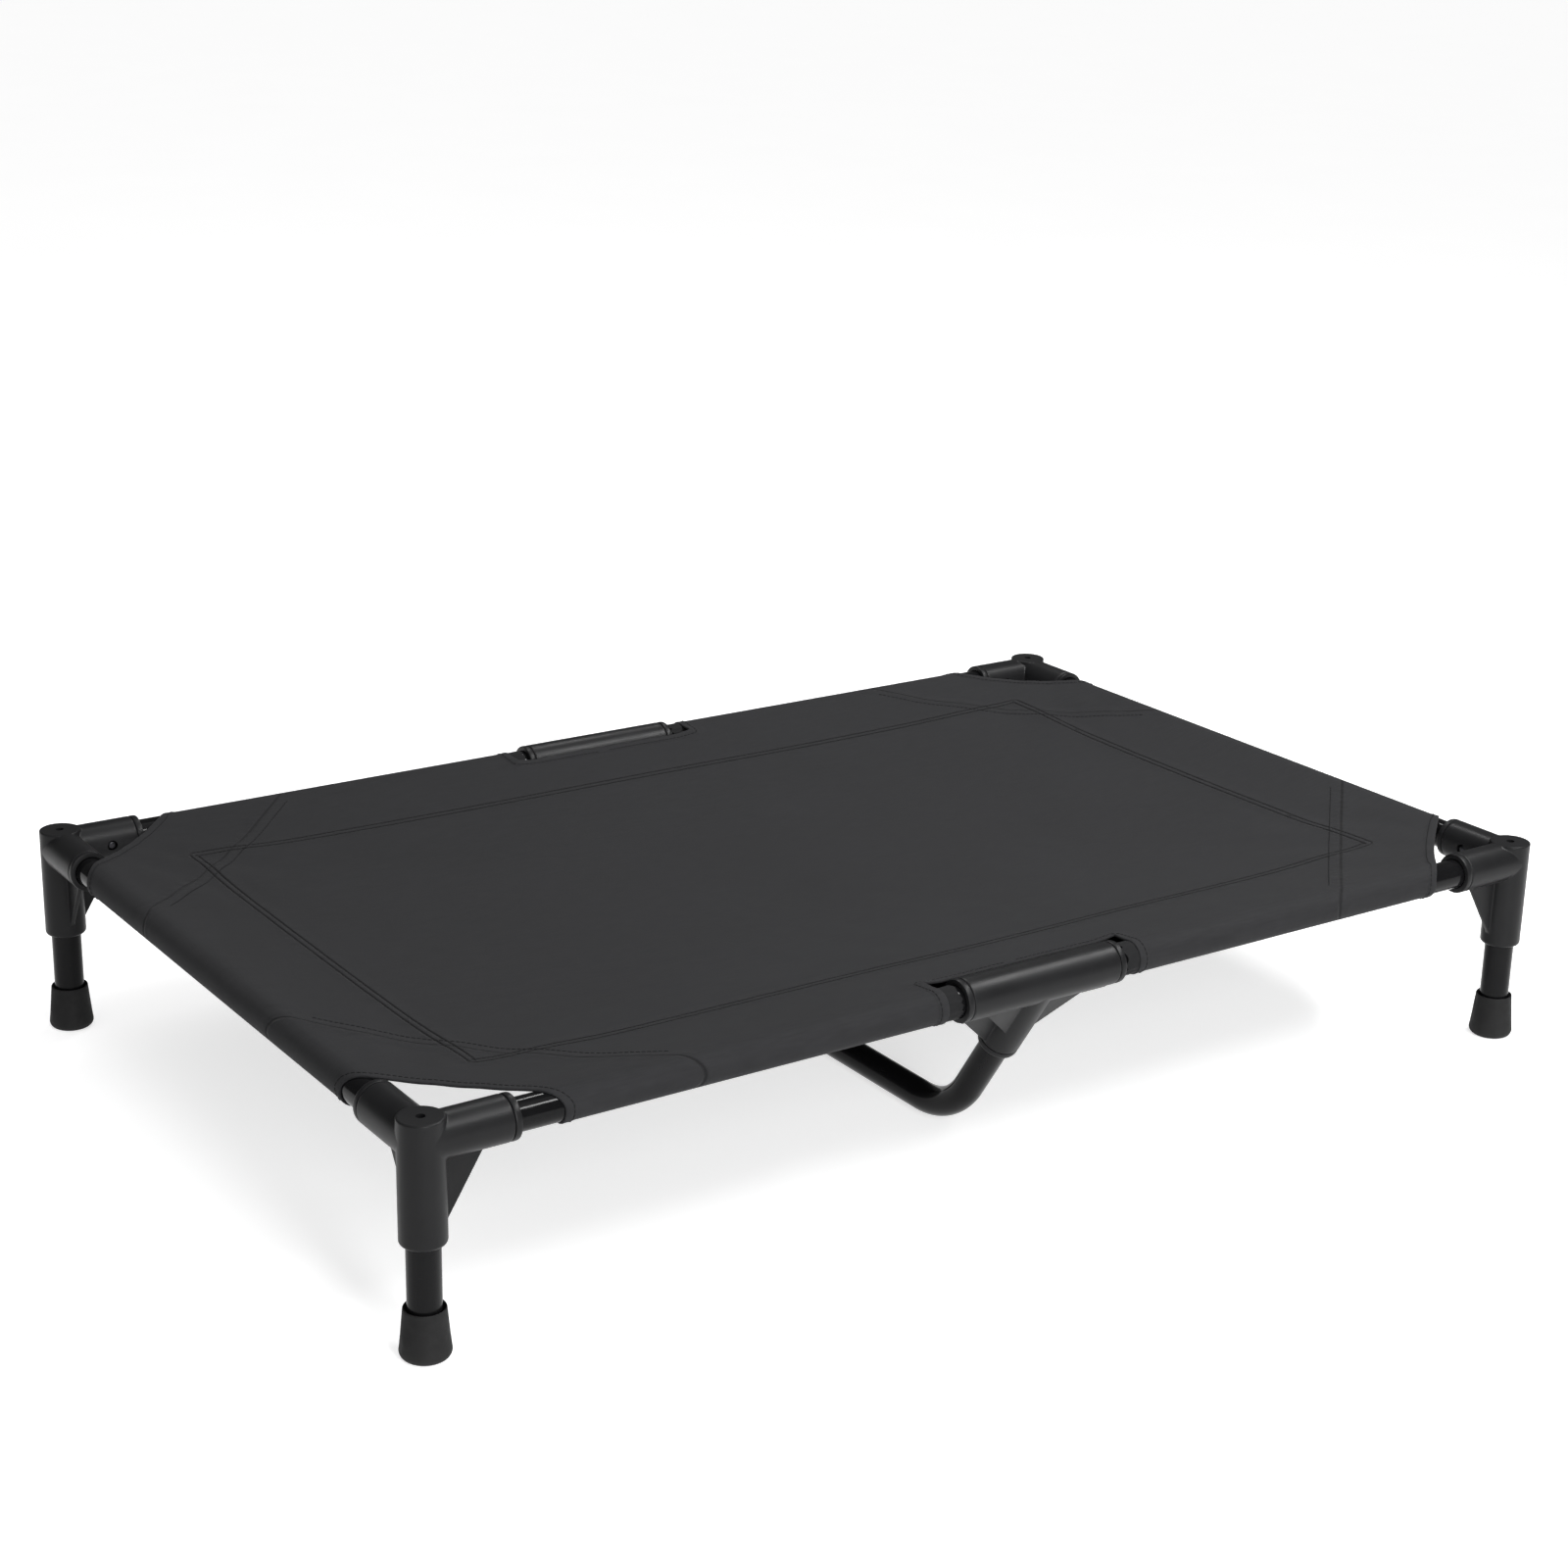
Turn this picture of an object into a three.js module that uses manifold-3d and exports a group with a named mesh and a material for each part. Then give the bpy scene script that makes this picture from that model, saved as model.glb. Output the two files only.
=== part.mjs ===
// Elevated dog bed: a push-together tubular frame on four rubber feet that carries a sewn fabric cover.
// Millimetres. The origin is on the floor under the middle, +X is the long side, +Z is up, the front is -Y.
import * as THREE from "three";
import { mergeVertices } from "three/addons/utils/BufferGeometryUtils.js";
import Module from "manifold-3d";

const wasm = await Module();
wasm.setup();

// ---- Driving dimensions ----
const LENGTH = 1062; // between leg axes along X
const WIDTH = 670; // between leg axes along Y
const HEIGHT = 180; // floor to the top of the corner connectors
const TUBE_OD = 25;
const TUBE_WALL = 1.2;
const PLASTIC_WALL = 3;
const FIT_GAP = 0.3; // clearance between neighbouring pieces
const BOSS_BOTTOM = 87; // underside of a corner connector
const SOCKET_REACH = 69; // corner socket mouth, from the leg axis
const SLEEVE_HALF = 78; // mid connector sleeve mouth, from the middle of the side
const BRACE_ANGLE = 57; // degrees below the horizontal
const BRACE_BEND = 73; // centreline radius of the brace bends
const SAG = 25; // dip of the unloaded cover in the middle
const SEAM_INSET = 85; // double seam, from the rail axis

// ---- Derived dimensions ----
const HALF_X = LENGTH / 2;
const HALF_Y = WIDTH / 2;
const TUBE_R = TUBE_OD / 2;
const TUBE_INNER = TUBE_R - TUBE_WALL;
const BORE_R = TUBE_R + FIT_GAP;
const SOCKET_R = BORE_R + PLASTIC_WALL;
const RAIL_Z = HEIGHT - SOCKET_R;
const BORE_STOP = BORE_R + PLASTIC_WALL + 1; // rail bores end here, beside the leg bore
const TUBE_START = BORE_STOP + FIT_GAP;

// ---- Small features ----
const COLLAR = { radius: SOCKET_R + 1.4, width: 5, chamfer: 0.7 };
const TOP_HOLE_R = 3.5;
const TOP_CHAMFER = 1;
const BOSS_ROUNDING = 3;
const BORE_TOP = HEIGHT - PLASTIC_WALL - TOP_CHAMFER;
const GUSSET = { thickness: 4, reach: 48, drop: 10 };
const SLEEVE_STOP = 21; // inner end of each rail bore in a mid connector
const BRACE_SOCKET = { depth: 80, stop: 4 };
const WEB = { thickness: 4, corner: SLEEVE_HALF + COLLAR.radius - 6, offset: 0 };
const SKIRT = { half: 11, depth: 17 }; // flat-sided bar along the underside of the sleeve
const OUTER_WEB = { thickness: 4, corner: 63, offset: -9 };
const FOOT = { base: 14, widest: 18.75, bulge: 5.5, neck: 15.6, height: 38, floor: 4, lip: 1.3 };
const BUTTON = { head: 3.5, tip: 16.5, shoulder: 1.4, crown: 0.4, flange: 4.5, seat: 8.8, brim: 1.2 };
const BUTTON_HOLE = { socket: 4.5, tube: 3.8 };
const BUTTON_STATION = 40; // from the leg axis
const SLEEVE_BUTTON_STATION = 50; // from the middle of the side
const SPRING = { width: 7, thickness: 0.8, near: 5.5, far: 24, back: 10.2, bend: 3.2 };
const CLOTH = { inner: TUBE_R + FIT_GAP, thickness: 1.2 };
const CORNER_CUT = { alongX: 92, alongY: 84, hollow: 6, undercut: 0.5, beyond: 60, above: 5 };
const NOTCH = { half: 95, depth: 20, flapDepth: 34 };
const FLAP_SETBACK = 105; // end of an under flap at the rail, from the leg axis
const SLEEVE_CLEARANCE = 2; // between a cloth sleeve and the mid connector
const FLOOR_CLEARANCE = 0.8; // under the level run of the brace
const SEAM_DIP = 0.6; // dip of the cover along its seams, as a share of the dip in the middle
const OVERCUT = 1; // how far joined solids and cutters run past a face

const ROUND = 20; // segments of a tube-sized circle
const SMALL_ROUND = 12;
const ARC_STEPS = 3; // steps of a quarter-round edge
const BEND_STEPS = 6; // steps of a brace bend
const CLOTH_STEPS = { alongX: 16, alongY: 12 };

// ---- Materials ----
const material = (color, roughness, metalness) =>
  new THREE.MeshStandardMaterial({ color, roughness, metalness });
const plastic = () => material(0x17181a, 0.55, 0);
const glossSteel = () => material(0x0e0f11, 0.22, 0.5);
const satinSteel = () => material(0x141518, 0.4, 0.5);
const rubber = () => material(0x1b1b1c, 0.8, 0);
const fabric = () => material(0x35363a, 0.9, 0);
const buttonSteel = () => material(0x26272a, 0.35, 0.8);
const springSteel = () => material(0x70737a, 0.4, 0.9);

// ---- Solids ----
// Welds a geometry, drops the triangles that collapsed on an axis and hands it to the boolean engine.
function solid(geometry) {
  const bare = geometry.clone();
  bare.deleteAttribute("normal");
  bare.deleteAttribute("uv");
  const welded = mergeVertices(bare, 1e-4);
  const index = welded.index.array;
  const kept = [];
  for (let i = 0; i < index.length; i += 3) {
    const [a, b, c] = [index[i], index[i + 1], index[i + 2]];
    if (a !== b && b !== c && c !== a) kept.push(a, b, c);
  }
  const vertProperties = new Float32Array(welded.attributes.position.array);
  return new wasm.Manifold(new wasm.Mesh({ numProp: 3, vertProperties, triVerts: new Uint32Array(kept) }));
}

function geometryOf(body) {
  const result = body.getMesh();
  const geometry = new THREE.BufferGeometry();
  geometry.setAttribute("position", new THREE.BufferAttribute(result.vertProperties, 3));
  geometry.setIndex(new THREE.BufferAttribute(result.triVerts, 1));
  return geometry;
}

function join(...geometries) {
  const solids = geometries.map(solid);
  return geometryOf(solids.reduce((sum, next) => sum.add(next)));
}

function cut(base, ...cutters) {
  return geometryOf(cutters.map(solid).reduce((rest, cutter) => rest.subtract(cutter), solid(base)));
}

// Revolves [radius, height] points about Z.
function turned(profile, segments = ROUND) {
  const points = profile.map(([radius, height]) => new THREE.Vector2(radius, height));
  return new THREE.LatheGeometry(points, segments).rotateX(Math.PI / 2);
}

// Turns a Z-up geometry so that its Z points along a direction, then moves it to its place.
function aim(geometry, origin, direction) {
  const turn = new THREE.Quaternion().setFromUnitVectors(new THREE.Vector3(0, 0, 1), direction);
  return geometry.applyQuaternion(turn).translate(origin.x, origin.y, origin.z);
}

function rod(radius, from, to, segments = ROUND) {
  const span = to.clone().sub(from);
  const length = span.length();
  return aim(turned([[0, 0], [radius, 0], [radius, length], [0, length]], segments), from, span.normalize());
}

// A hole from a point on a tube axis out through the tube and the socket round it.
function drill(radius, site, direction) {
  return rod(radius, site, site.clone().addScaledVector(direction, SOCKET_R + OVERCUT), SMALL_ROUND);
}

function ringShape(outer, inner) {
  const shape = new THREE.Shape().absarc(0, 0, outer, 0, 2 * Math.PI);
  shape.holes.push(new THREE.Path().absarc(0, 0, inner, 0, 2 * Math.PI, true));
  return shape;
}

function pipe(outer, inner, from, to) {
  const span = to.clone().sub(from);
  const options = { depth: span.length(), bevelEnabled: false, curveSegments: ROUND / 2 };
  return aim(new THREE.ExtrudeGeometry(ringShape(outer, inner), options), from, span.normalize());
}

// A flat plate standing in the XZ plane, centred on y = 0, from [x, z] corners.
function plate(corners, thickness) {
  const shape = new THREE.Shape(corners.map(([x, z]) => new THREE.Vector2(x, z)));
  const slab = new THREE.ExtrudeGeometry(shape, { depth: thickness, bevelEnabled: false });
  return slab.rotateX(Math.PI / 2).translate(0, thickness / 2, 0);
}

const at = (x, y, z) => new THREE.Vector3(x, y, z);
const X = at(1, 0, 0);
const Y = at(0, 1, 0);

// ---- Corner connector, front left, with its leg axis on x = y = 0 ----
// A socket with a stepped collar round its mouth.
function collaredProfile(reach) {
  const { radius, width, chamfer } = COLLAR;
  return [
    [0, 0],
    [SOCKET_R, 0],
    [SOCKET_R, reach - width],
    [radius, reach - width],
    [radius, reach - chamfer],
    [radius - chamfer, reach],
    [0, reach],
  ];
}

function bossProfile() {
  const profile = [[0, BOSS_BOTTOM]];
  for (let step = 0; step <= ARC_STEPS; step += 1) {
    const angle = (step / ARC_STEPS) * (Math.PI / 2);
    profile.push([
      SOCKET_R - BOSS_ROUNDING * (1 - Math.sin(angle)),
      BOSS_BOTTOM + BOSS_ROUNDING * (1 - Math.cos(angle)),
    ]);
  }
  profile.push([SOCKET_R, HEIGHT - TOP_CHAMFER], [SOCKET_R - TOP_CHAMFER, HEIGHT], [0, HEIGHT]);
  return profile;
}

function gusset() {
  const top = RAIL_Z - SOCKET_R + OVERCUT;
  const toe = BOSS_BOTTOM + GUSSET.drop;
  return plate([[0, top], [GUSSET.reach, top], [SOCKET_R - OVERCUT, toe], [0, toe]], GUSSET.thickness);
}

function cornerConnector() {
  const centre = at(0, 0, RAIL_Z);
  const body = join(
    turned(bossProfile()),
    aim(turned(collaredProfile(SOCKET_REACH)), centre, X),
    aim(turned(collaredProfile(SOCKET_REACH)), centre, Y),
    gusset(),
    gusset().rotateZ(Math.PI / 2),
  );
  return cut(
    body,
    rod(BORE_R, at(0, 0, BOSS_BOTTOM - OVERCUT), at(0, 0, BORE_TOP)),
    rod(TOP_HOLE_R, at(0, 0, BORE_TOP - OVERCUT), at(0, 0, HEIGHT + OVERCUT), SMALL_ROUND),
    rod(BORE_R, at(BORE_STOP, 0, RAIL_Z), at(SOCKET_REACH + OVERCUT, 0, RAIL_Z)),
    rod(BORE_R, at(0, BORE_STOP, RAIL_Z), at(0, SOCKET_REACH + OVERCUT, RAIL_Z)),
    drill(BUTTON_HOLE.socket, at(BUTTON_STATION, 0, RAIL_Z), Y),
    drill(BUTTON_HOLE.socket, at(0, BUTTON_STATION, RAIL_Z), X),
  );
}

// ---- Mid connector, front, with the middle of the rail axis on x = y = 0 ----
const braceSlope = THREE.MathUtils.degToRad(BRACE_ANGLE);
const braceDown = at(0, Math.cos(braceSlope), -Math.sin(braceSlope));

// A plate in the slanted plane of the socket, from [x, distance from the rail axis] corners. The offset
// moves it square to that plane, positive towards the cover.
function slantedPlate(corners, thickness, offset) {
  const flat = plate(corners.map(([x, distance]) => [x, -distance]), thickness).translate(0, offset, 0);
  return flat.rotateX(Math.PI / 2 - braceSlope).translate(0, 0, RAIL_Z);
}

// A web fills the two angles between the sleeve and the socket. Its free edges run at 45 degrees and end
// inside the socket wall.
function web({ thickness, corner, offset }, root) {
  const reach = corner - root;
  const tip = BORE_R;
  const corners = [[-reach, root], [reach, root], [tip, corner - tip], [-tip, corner - tip]];
  return slantedPlate(corners, thickness, offset);
}

function skirt() {
  const end = SLEEVE_HALF - COLLAR.width;
  return slantedPlate([[-end, 0], [end, 0], [end, SKIRT.depth], [-end, SKIRT.depth]], 2 * SKIRT.half, 0);
}

function midConnector() {
  const centre = at(0, 0, RAIL_Z);
  const alongBrace = (distance) => centre.clone().addScaledVector(braceDown, distance);
  const halfSleeve = () => aim(turned(collaredProfile(SLEEVE_HALF + OVERCUT)), at(-OVERCUT, 0, RAIL_Z), X);
  const body = join(
    halfSleeve(),
    halfSleeve().rotateZ(Math.PI),
    aim(turned(collaredProfile(BRACE_SOCKET.depth)), centre, braceDown),
    skirt(),
    web(WEB, SOCKET_R - OVERCUT),
    web(OUTER_WEB, SKIRT.depth - OVERCUT),
  );
  const cutters = [rod(BORE_R, alongBrace(BRACE_SOCKET.stop), alongBrace(BRACE_SOCKET.depth + OVERCUT))];
  for (const side of [-1, 1]) {
    const mouth = side * (SLEEVE_HALF + OVERCUT);
    cutters.push(rod(BORE_R, at(side * SLEEVE_STOP, 0, RAIL_Z), at(mouth, 0, RAIL_Z)));
    cutters.push(drill(BUTTON_HOLE.socket, at(side * SLEEVE_BUTTON_STATION, 0, RAIL_Z), Y));
  }
  return cut(body, ...cutters);
}

// ---- Rubber foot, standing on z = 0 ----
function rubberFoot() {
  const { base, widest, bulge, neck, height, floor, lip } = FOOT;
  const profile = [[0, 0], [base, 0]];
  for (let step = 1; step <= ARC_STEPS; step += 1) {
    const angle = (step / ARC_STEPS) * (Math.PI / 2);
    profile.push([base + (widest - base) * Math.sin(angle), bulge * (1 - Math.cos(angle))]);
  }
  profile.push([neck, height - lip], [neck - lip / 2, height]);
  profile.push([BORE_R + lip, height], [BORE_R, height - lip], [BORE_R, floor], [0, floor]);
  return turned(profile);
}

// ---- Centre brace: one bent tube from the front mid connector to the rear one ----
// Keeps its own stations instead of equal arc lengths, so straights stay long and bends stay round.
class StationPath extends THREE.Curve {
  constructor(stations) {
    super();
    this.stations = stations;
  }

  getPoint(t, target = new THREE.Vector3()) {
    const place = THREE.MathUtils.clamp(t, 0, 1) * (this.stations.length - 1);
    const first = Math.min(Math.floor(place), this.stations.length - 2);
    return target.lerpVectors(this.stations[first], this.stations[first + 1], place - first);
  }

  getUtoTmapping(u) {
    return u;
  }
}

function braceStations() {
  const level = TUBE_R + FLOOR_CLEARANCE;
  const start = BRACE_SOCKET.stop + 2;
  const cornerY = -HALF_Y + (RAIL_Z - level) / Math.tan(braceSlope);
  const setback = BRACE_BEND * Math.tan(braceSlope / 2);
  const centre = at(0, cornerY + setback, level + BRACE_BEND);
  const half = [at(0, -HALF_Y, RAIL_Z).addScaledVector(braceDown, start)];
  for (let step = 0; step <= BEND_STEPS; step += 1) {
    const angle = braceSlope * (1 - step / BEND_STEPS);
    half.push(at(0, centre.y - BRACE_BEND * Math.sin(angle), centre.z - BRACE_BEND * Math.cos(angle)));
  }
  const other = half.map((point) => at(0, -point.y, point.z)).reverse();
  return [...half, ...other];
}

function centreBrace() {
  const stations = braceStations();
  return new THREE.ExtrudeGeometry(ringShape(TUBE_R, TUBE_INNER), {
    steps: stations.length - 1,
    curveSegments: ROUND / 2,
    bevelEnabled: false,
    extrudePath: new StationPath(stations),
  });
}

// ---- Snap button and its leaf spring; Z points out through the hole, X deeper into the tube ----
function snapButton() {
  const { head, tip, flange, seat, brim, shoulder, crown } = BUTTON;
  return turned([
    [0, seat],
    [flange, seat],
    [flange, seat + brim],
    [head, seat + brim],
    [head, tip - shoulder],
    [head - shoulder + crown, tip - crown],
    [0, tip],
  ], SMALL_ROUND);
}

function buttonSpring() {
  const { width, thickness, near, far, back, bend } = SPRING;
  const top = BUTTON.seat - FIT_GAP;
  const middle = (top - back) / 2;
  const outline = new THREE.Shape();
  outline.moveTo(-near, top);
  outline.lineTo(near, top);
  outline.lineTo(far, middle + bend);
  outline.absarc(far, middle, bend, Math.PI / 2, -Math.PI / 2, true);
  outline.lineTo(0, -back);
  outline.lineTo(-near, -back);
  outline.lineTo(-near, -back + thickness);
  outline.lineTo(0, -back + thickness);
  outline.lineTo(far, middle - bend + thickness);
  outline.absarc(far, middle, bend - thickness, -Math.PI / 2, Math.PI / 2, false);
  outline.lineTo(near, top - thickness);
  outline.lineTo(-near, top - thickness);
  const strip = new THREE.ExtrudeGeometry(outline, { depth: width, bevelEnabled: false, curveSegments: 6 });
  return strip.rotateX(Math.PI / 2).translate(0, width / 2, 0);
}

// ---- Fabric cover ----
const clothOuter = CLOTH.inner + CLOTH.thickness;
const clothTangent = 4; // where the panel leaves the rail, from the rail axis
const panelEdgeZ = RAIL_Z + Math.sqrt(clothOuter ** 2 - clothTangent ** 2);

// The exponents give the long and the short seams the same dip.
function sagPower(half) {
  return Math.log(1 - SEAM_DIP) / Math.log(1 - (SEAM_INSET - clothTangent) / (half - clothTangent));
}

function panelTop(x, y) {
  const alongX = 1 - (Math.abs(x) / (HALF_X - clothTangent)) ** sagPower(HALF_X);
  const alongY = 1 - (Math.abs(y) / (HALF_Y - clothTangent)) ** sagPower(HALF_Y);
  return panelEdgeZ - SAG * alongX * alongY;
}

// A closed slab over a grid of [x, y, z] points, one cloth thickness deep.
function drapedSlab(rows) {
  const rowCount = rows.length;
  const columnCount = rows[0].length;
  const positions = [];
  const index = [];
  for (const drop of [0, CLOTH.thickness]) {
    rows.forEach((row) => row.forEach(([x, y, z]) => positions.push(x, y, z - drop)));
  }
  const layer = rowCount * columnCount;
  const vertex = (row, column) => row * columnCount + column;
  const quad = (a, b, c, d) => index.push(a, b, c, a, c, d);
  const wall = (a, b) => quad(b, a, layer + a, layer + b);
  for (let row = 0; row < rowCount - 1; row += 1) {
    for (let column = 0; column < columnCount - 1; column += 1) {
      const [a, b] = [vertex(row, column), vertex(row, column + 1)];
      const [d, c] = [vertex(row + 1, column), vertex(row + 1, column + 1)];
      quad(a, b, c, d);
      quad(layer + d, layer + c, layer + b, layer + a);
    }
    wall(vertex(row + 1, 0), vertex(row, 0));
    wall(vertex(row, columnCount - 1), vertex(row + 1, columnCount - 1));
  }
  for (let column = 0; column < columnCount - 1; column += 1) {
    wall(vertex(0, column), vertex(0, column + 1));
    wall(vertex(rowCount - 1, column + 1), vertex(rowCount - 1, column));
  }
  const geometry = new THREE.BufferGeometry();
  geometry.setAttribute("position", new THREE.Float32BufferAttribute(positions, 3));
  geometry.setIndex(index);
  return geometry;
}

// Evenly turned stations over -half..half, closer together near the ends.
function spread(count, half) {
  return Array.from({ length: count + 1 }, (_, i) => half * Math.sin((i / count - 0.5) * Math.PI));
}

function topPanel() {
  const edge = clothTangent - OVERCUT;
  const across = spread(CLOTH_STEPS.alongX, HALF_X - edge);
  const up = spread(CLOTH_STEPS.alongY, HALF_Y - edge);
  return drapedSlab(up.map((y) => across.map((x) => [x, y, panelTop(x, y)])));
}

// The under layer of one side runs back from the rail's underside to the double seam. Its ends are cut
// away from the corners at 45 degrees. Built along X, with the side at half width `across`.
function underFlap(along, across, steps, heightAt) {
  const start = 2 * OVERCUT;
  const bottomZ = RAIL_Z - CLOTH.inner;
  const rowAt = (inset) => {
    const reach = along - FLAP_SETBACK - inset;
    const share = (inset - start) / (SEAM_INSET - start);
    return spread(steps, reach).map((x) => {
      const seamZ = heightAt(x, across - SEAM_INSET) - CLOTH.thickness / 2;
      return [x, inset - across, THREE.MathUtils.lerp(bottomZ, seamZ, share)];
    });
  };
  return drapedSlab([start, SEAM_INSET / 2, SEAM_INSET].map(rowAt));
}

function underFlaps() {
  const { alongX, alongY } = CLOTH_STEPS;
  const long = () => underFlap(HALF_X, HALF_Y, alongX, panelTop);
  const short = () => underFlap(HALF_Y, HALF_X, alongY, (along, across) => panelTop(across, along));
  const quarter = Math.PI / 2;
  return [long(), long().rotateZ(2 * quarter), short().rotateZ(quarter), short().rotateZ(-quarter)];
}

function railSleeves() {
  const sleeve = (from, to) => pipe(clothOuter, CLOTH.inner, from, to);
  const sleeves = [];
  for (const side of [-1, 1]) {
    const y = side * HALF_Y;
    const x = side * HALF_X;
    const inner = SLEEVE_HALF + SLEEVE_CLEARANCE;
    for (const end of [-1, 1]) {
      sleeves.push(sleeve(at(end * (HALF_X - SOCKET_REACH), y, RAIL_Z), at(end * inner, y, RAIL_Z)));
    }
    sleeves.push(sleeve(at(x, -HALF_Y + SOCKET_REACH, RAIL_Z), at(x, HALF_Y - SOCKET_REACH, RAIL_Z)));
  }
  return sleeves;
}

// Clears one corner. The edge is slightly hollow and lies farther back on the underside.
function cornerCutter(signX, signY) {
  const { alongX, alongY, hollow, undercut, beyond, above } = CORNER_CUT;
  const top = HEIGHT + above;
  const height = top - (RAIL_Z - clothOuter - OVERCUT);
  const setback = undercut * (top - RAIL_Z - clothOuter);
  const [reachX, reachY] = [alongX - setback, alongY - setback];
  const shape = new THREE.Shape();
  shape.moveTo(-signX * beyond, -signY * beyond);
  shape.lineTo(signX * reachX, -signY * beyond);
  shape.lineTo(signX * reachX, 0);
  shape.quadraticCurveTo(signX * (reachX / 2 + hollow), signY * (reachY / 2 + hollow), 0, signY * reachY);
  shape.lineTo(-signX * beyond, signY * reachY);
  const block = new THREE.ExtrudeGeometry(shape, { depth: height, bevelEnabled: false, curveSegments: 3 });
  const lean = new THREE.Matrix4().makeShear(0, 0, 0, 0, -undercut * signX, -undercut * signY);
  return block.translate(0, 0, -height).applyMatrix4(lean).translate(-signX * HALF_X, -signY * HALF_Y, top);
}

// The cover is cut away round each mid connector, farther back in the under layer than in the panel.
function notchCutter(signY, depth, fromZ, toZ) {
  const reach = depth + clothOuter + OVERCUT;
  const block = new THREE.BoxGeometry(2 * NOTCH.half, reach, toZ - fromZ);
  return block.translate(0, signY * (HALF_Y - depth + reach / 2), (fromZ + toZ) / 2);
}

function bedCover() {
  const notches = [];
  const corners = [];
  for (const signY of [-1, 1]) {
    notches.push(notchCutter(signY, NOTCH.depth, BOSS_BOTTOM, HEIGHT));
    notches.push(notchCutter(signY, NOTCH.flapDepth, BOSS_BOTTOM, RAIL_Z));
    for (const signX of [-1, 1]) corners.push(cornerCutter(signX, signY));
  }
  const layers = cut(join(topPanel(), ...underFlaps()), ...notches);
  return cut(join(layers, ...railSleeves()), ...corners);
}

// ---- Assembly ----
const group = new THREE.Group();
group.name = "dog_bed_with_frame";

function addPart(name, geometry, material) {
  const mesh = new THREE.Mesh(geometry, material);
  mesh.name = name;
  group.add(mesh);
}

// Front left, front right, rear right, rear left: each a quarter turn on from the one before.
const corners = [
  { name: "front_left", x: -HALF_X, y: -HALF_Y },
  { name: "front_right", x: HALF_X, y: -HALF_Y },
  { name: "rear_right", x: HALF_X, y: HALF_Y },
  { name: "rear_left", x: -HALF_X, y: HALF_Y },
];

corners.forEach(({ name, x, y }, quarter) => {
  const legBottom = FOOT.floor + FIT_GAP;
  const legTop = BORE_TOP - FIT_GAP;
  const connector = cornerConnector().rotateZ((quarter * Math.PI) / 2).translate(x, y, 0);
  addPart(`corner_${name}`, connector, plastic());
  addPart(`leg_tube_${name}`, pipe(TUBE_R, TUBE_INNER, at(x, y, legBottom), at(x, y, legTop)), satinSteel());
  addPart(`rubber_foot_${name}`, rubberFoot().translate(x, y, 0), rubber());
});

// Every rail tube end carries one button: where it is, which way the tube runs on, and the push-out side.
const buttonSites = [];
for (const [sideName, signY] of [["front", -1], ["rear", 1]]) {
  const inward = at(0, -signY, 0);
  const y = signY * HALF_Y;
  for (const [endName, signX] of [["left", -1], ["right", 1]]) {
    const outer = signX * (HALF_X - TUBE_START);
    const inner = signX * (SLEEVE_STOP + FIT_GAP);
    const outerButton = at(signX * (HALF_X - BUTTON_STATION), y, RAIL_Z);
    const innerButton = at(signX * SLEEVE_BUTTON_STATION, y, RAIL_Z);
    const holes = [outerButton, innerButton].map((site) => drill(BUTTON_HOLE.tube, site, inward));
    const tube = pipe(TUBE_R, TUBE_INNER, at(outer, y, RAIL_Z), at(inner, y, RAIL_Z));
    addPart(`${sideName}_rail_${endName}`, cut(tube, ...holes), glossSteel());
    const rail = `${sideName}_${endName}`;
    buttonSites.push({ name: `${rail}_outer`, site: outerButton, deeper: at(-signX, 0, 0), inward });
    buttonSites.push({ name: `${rail}_inner`, site: innerButton, deeper: at(signX, 0, 0), inward });
  }
  const connector = midConnector().rotateZ(signY < 0 ? 0 : Math.PI).translate(0, y, 0);
  addPart(`mid_connector_${sideName}`, connector, plastic());
}

for (const [sideName, signX] of [["left", -1], ["right", 1]]) {
  const x = signX * HALF_X;
  const inward = at(-signX, 0, 0);
  const end = HALF_Y - TUBE_START;
  const holes = [];
  for (const [endName, signY] of [["front", -1], ["rear", 1]]) {
    const site = at(x, signY * (HALF_Y - BUTTON_STATION), RAIL_Z);
    holes.push(drill(BUTTON_HOLE.tube, site, inward));
    buttonSites.push({ name: `${sideName}_side_${endName}`, site, deeper: at(0, -signY, 0), inward });
  }
  const tube = pipe(TUBE_R, TUBE_INNER, at(x, -end, RAIL_Z), at(x, end, RAIL_Z));
  addPart(`side_rail_${sideName}`, cut(tube, ...holes), glossSteel());
}

for (const { name, site, deeper, inward } of buttonSites) {
  const across = inward.clone().cross(deeper);
  const place = new THREE.Matrix4().makeBasis(deeper, across, inward).setPosition(site);
  addPart(`snap_button_${name}`, snapButton().applyMatrix4(place), buttonSteel());
  addPart(`button_spring_${name}`, buttonSpring().applyMatrix4(place), springSteel());
}

addPart("centre_brace", centreBrace(), glossSteel());
addPart("bed_cover", bedCover(), fabric());

export default group;
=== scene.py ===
"""Looks for the raised dog bed: smooth frame pieces, a sewn cover, materials, light and camera."""
import math

import bmesh
import bpy
from mathutils import Matrix, Vector, noise


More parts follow.
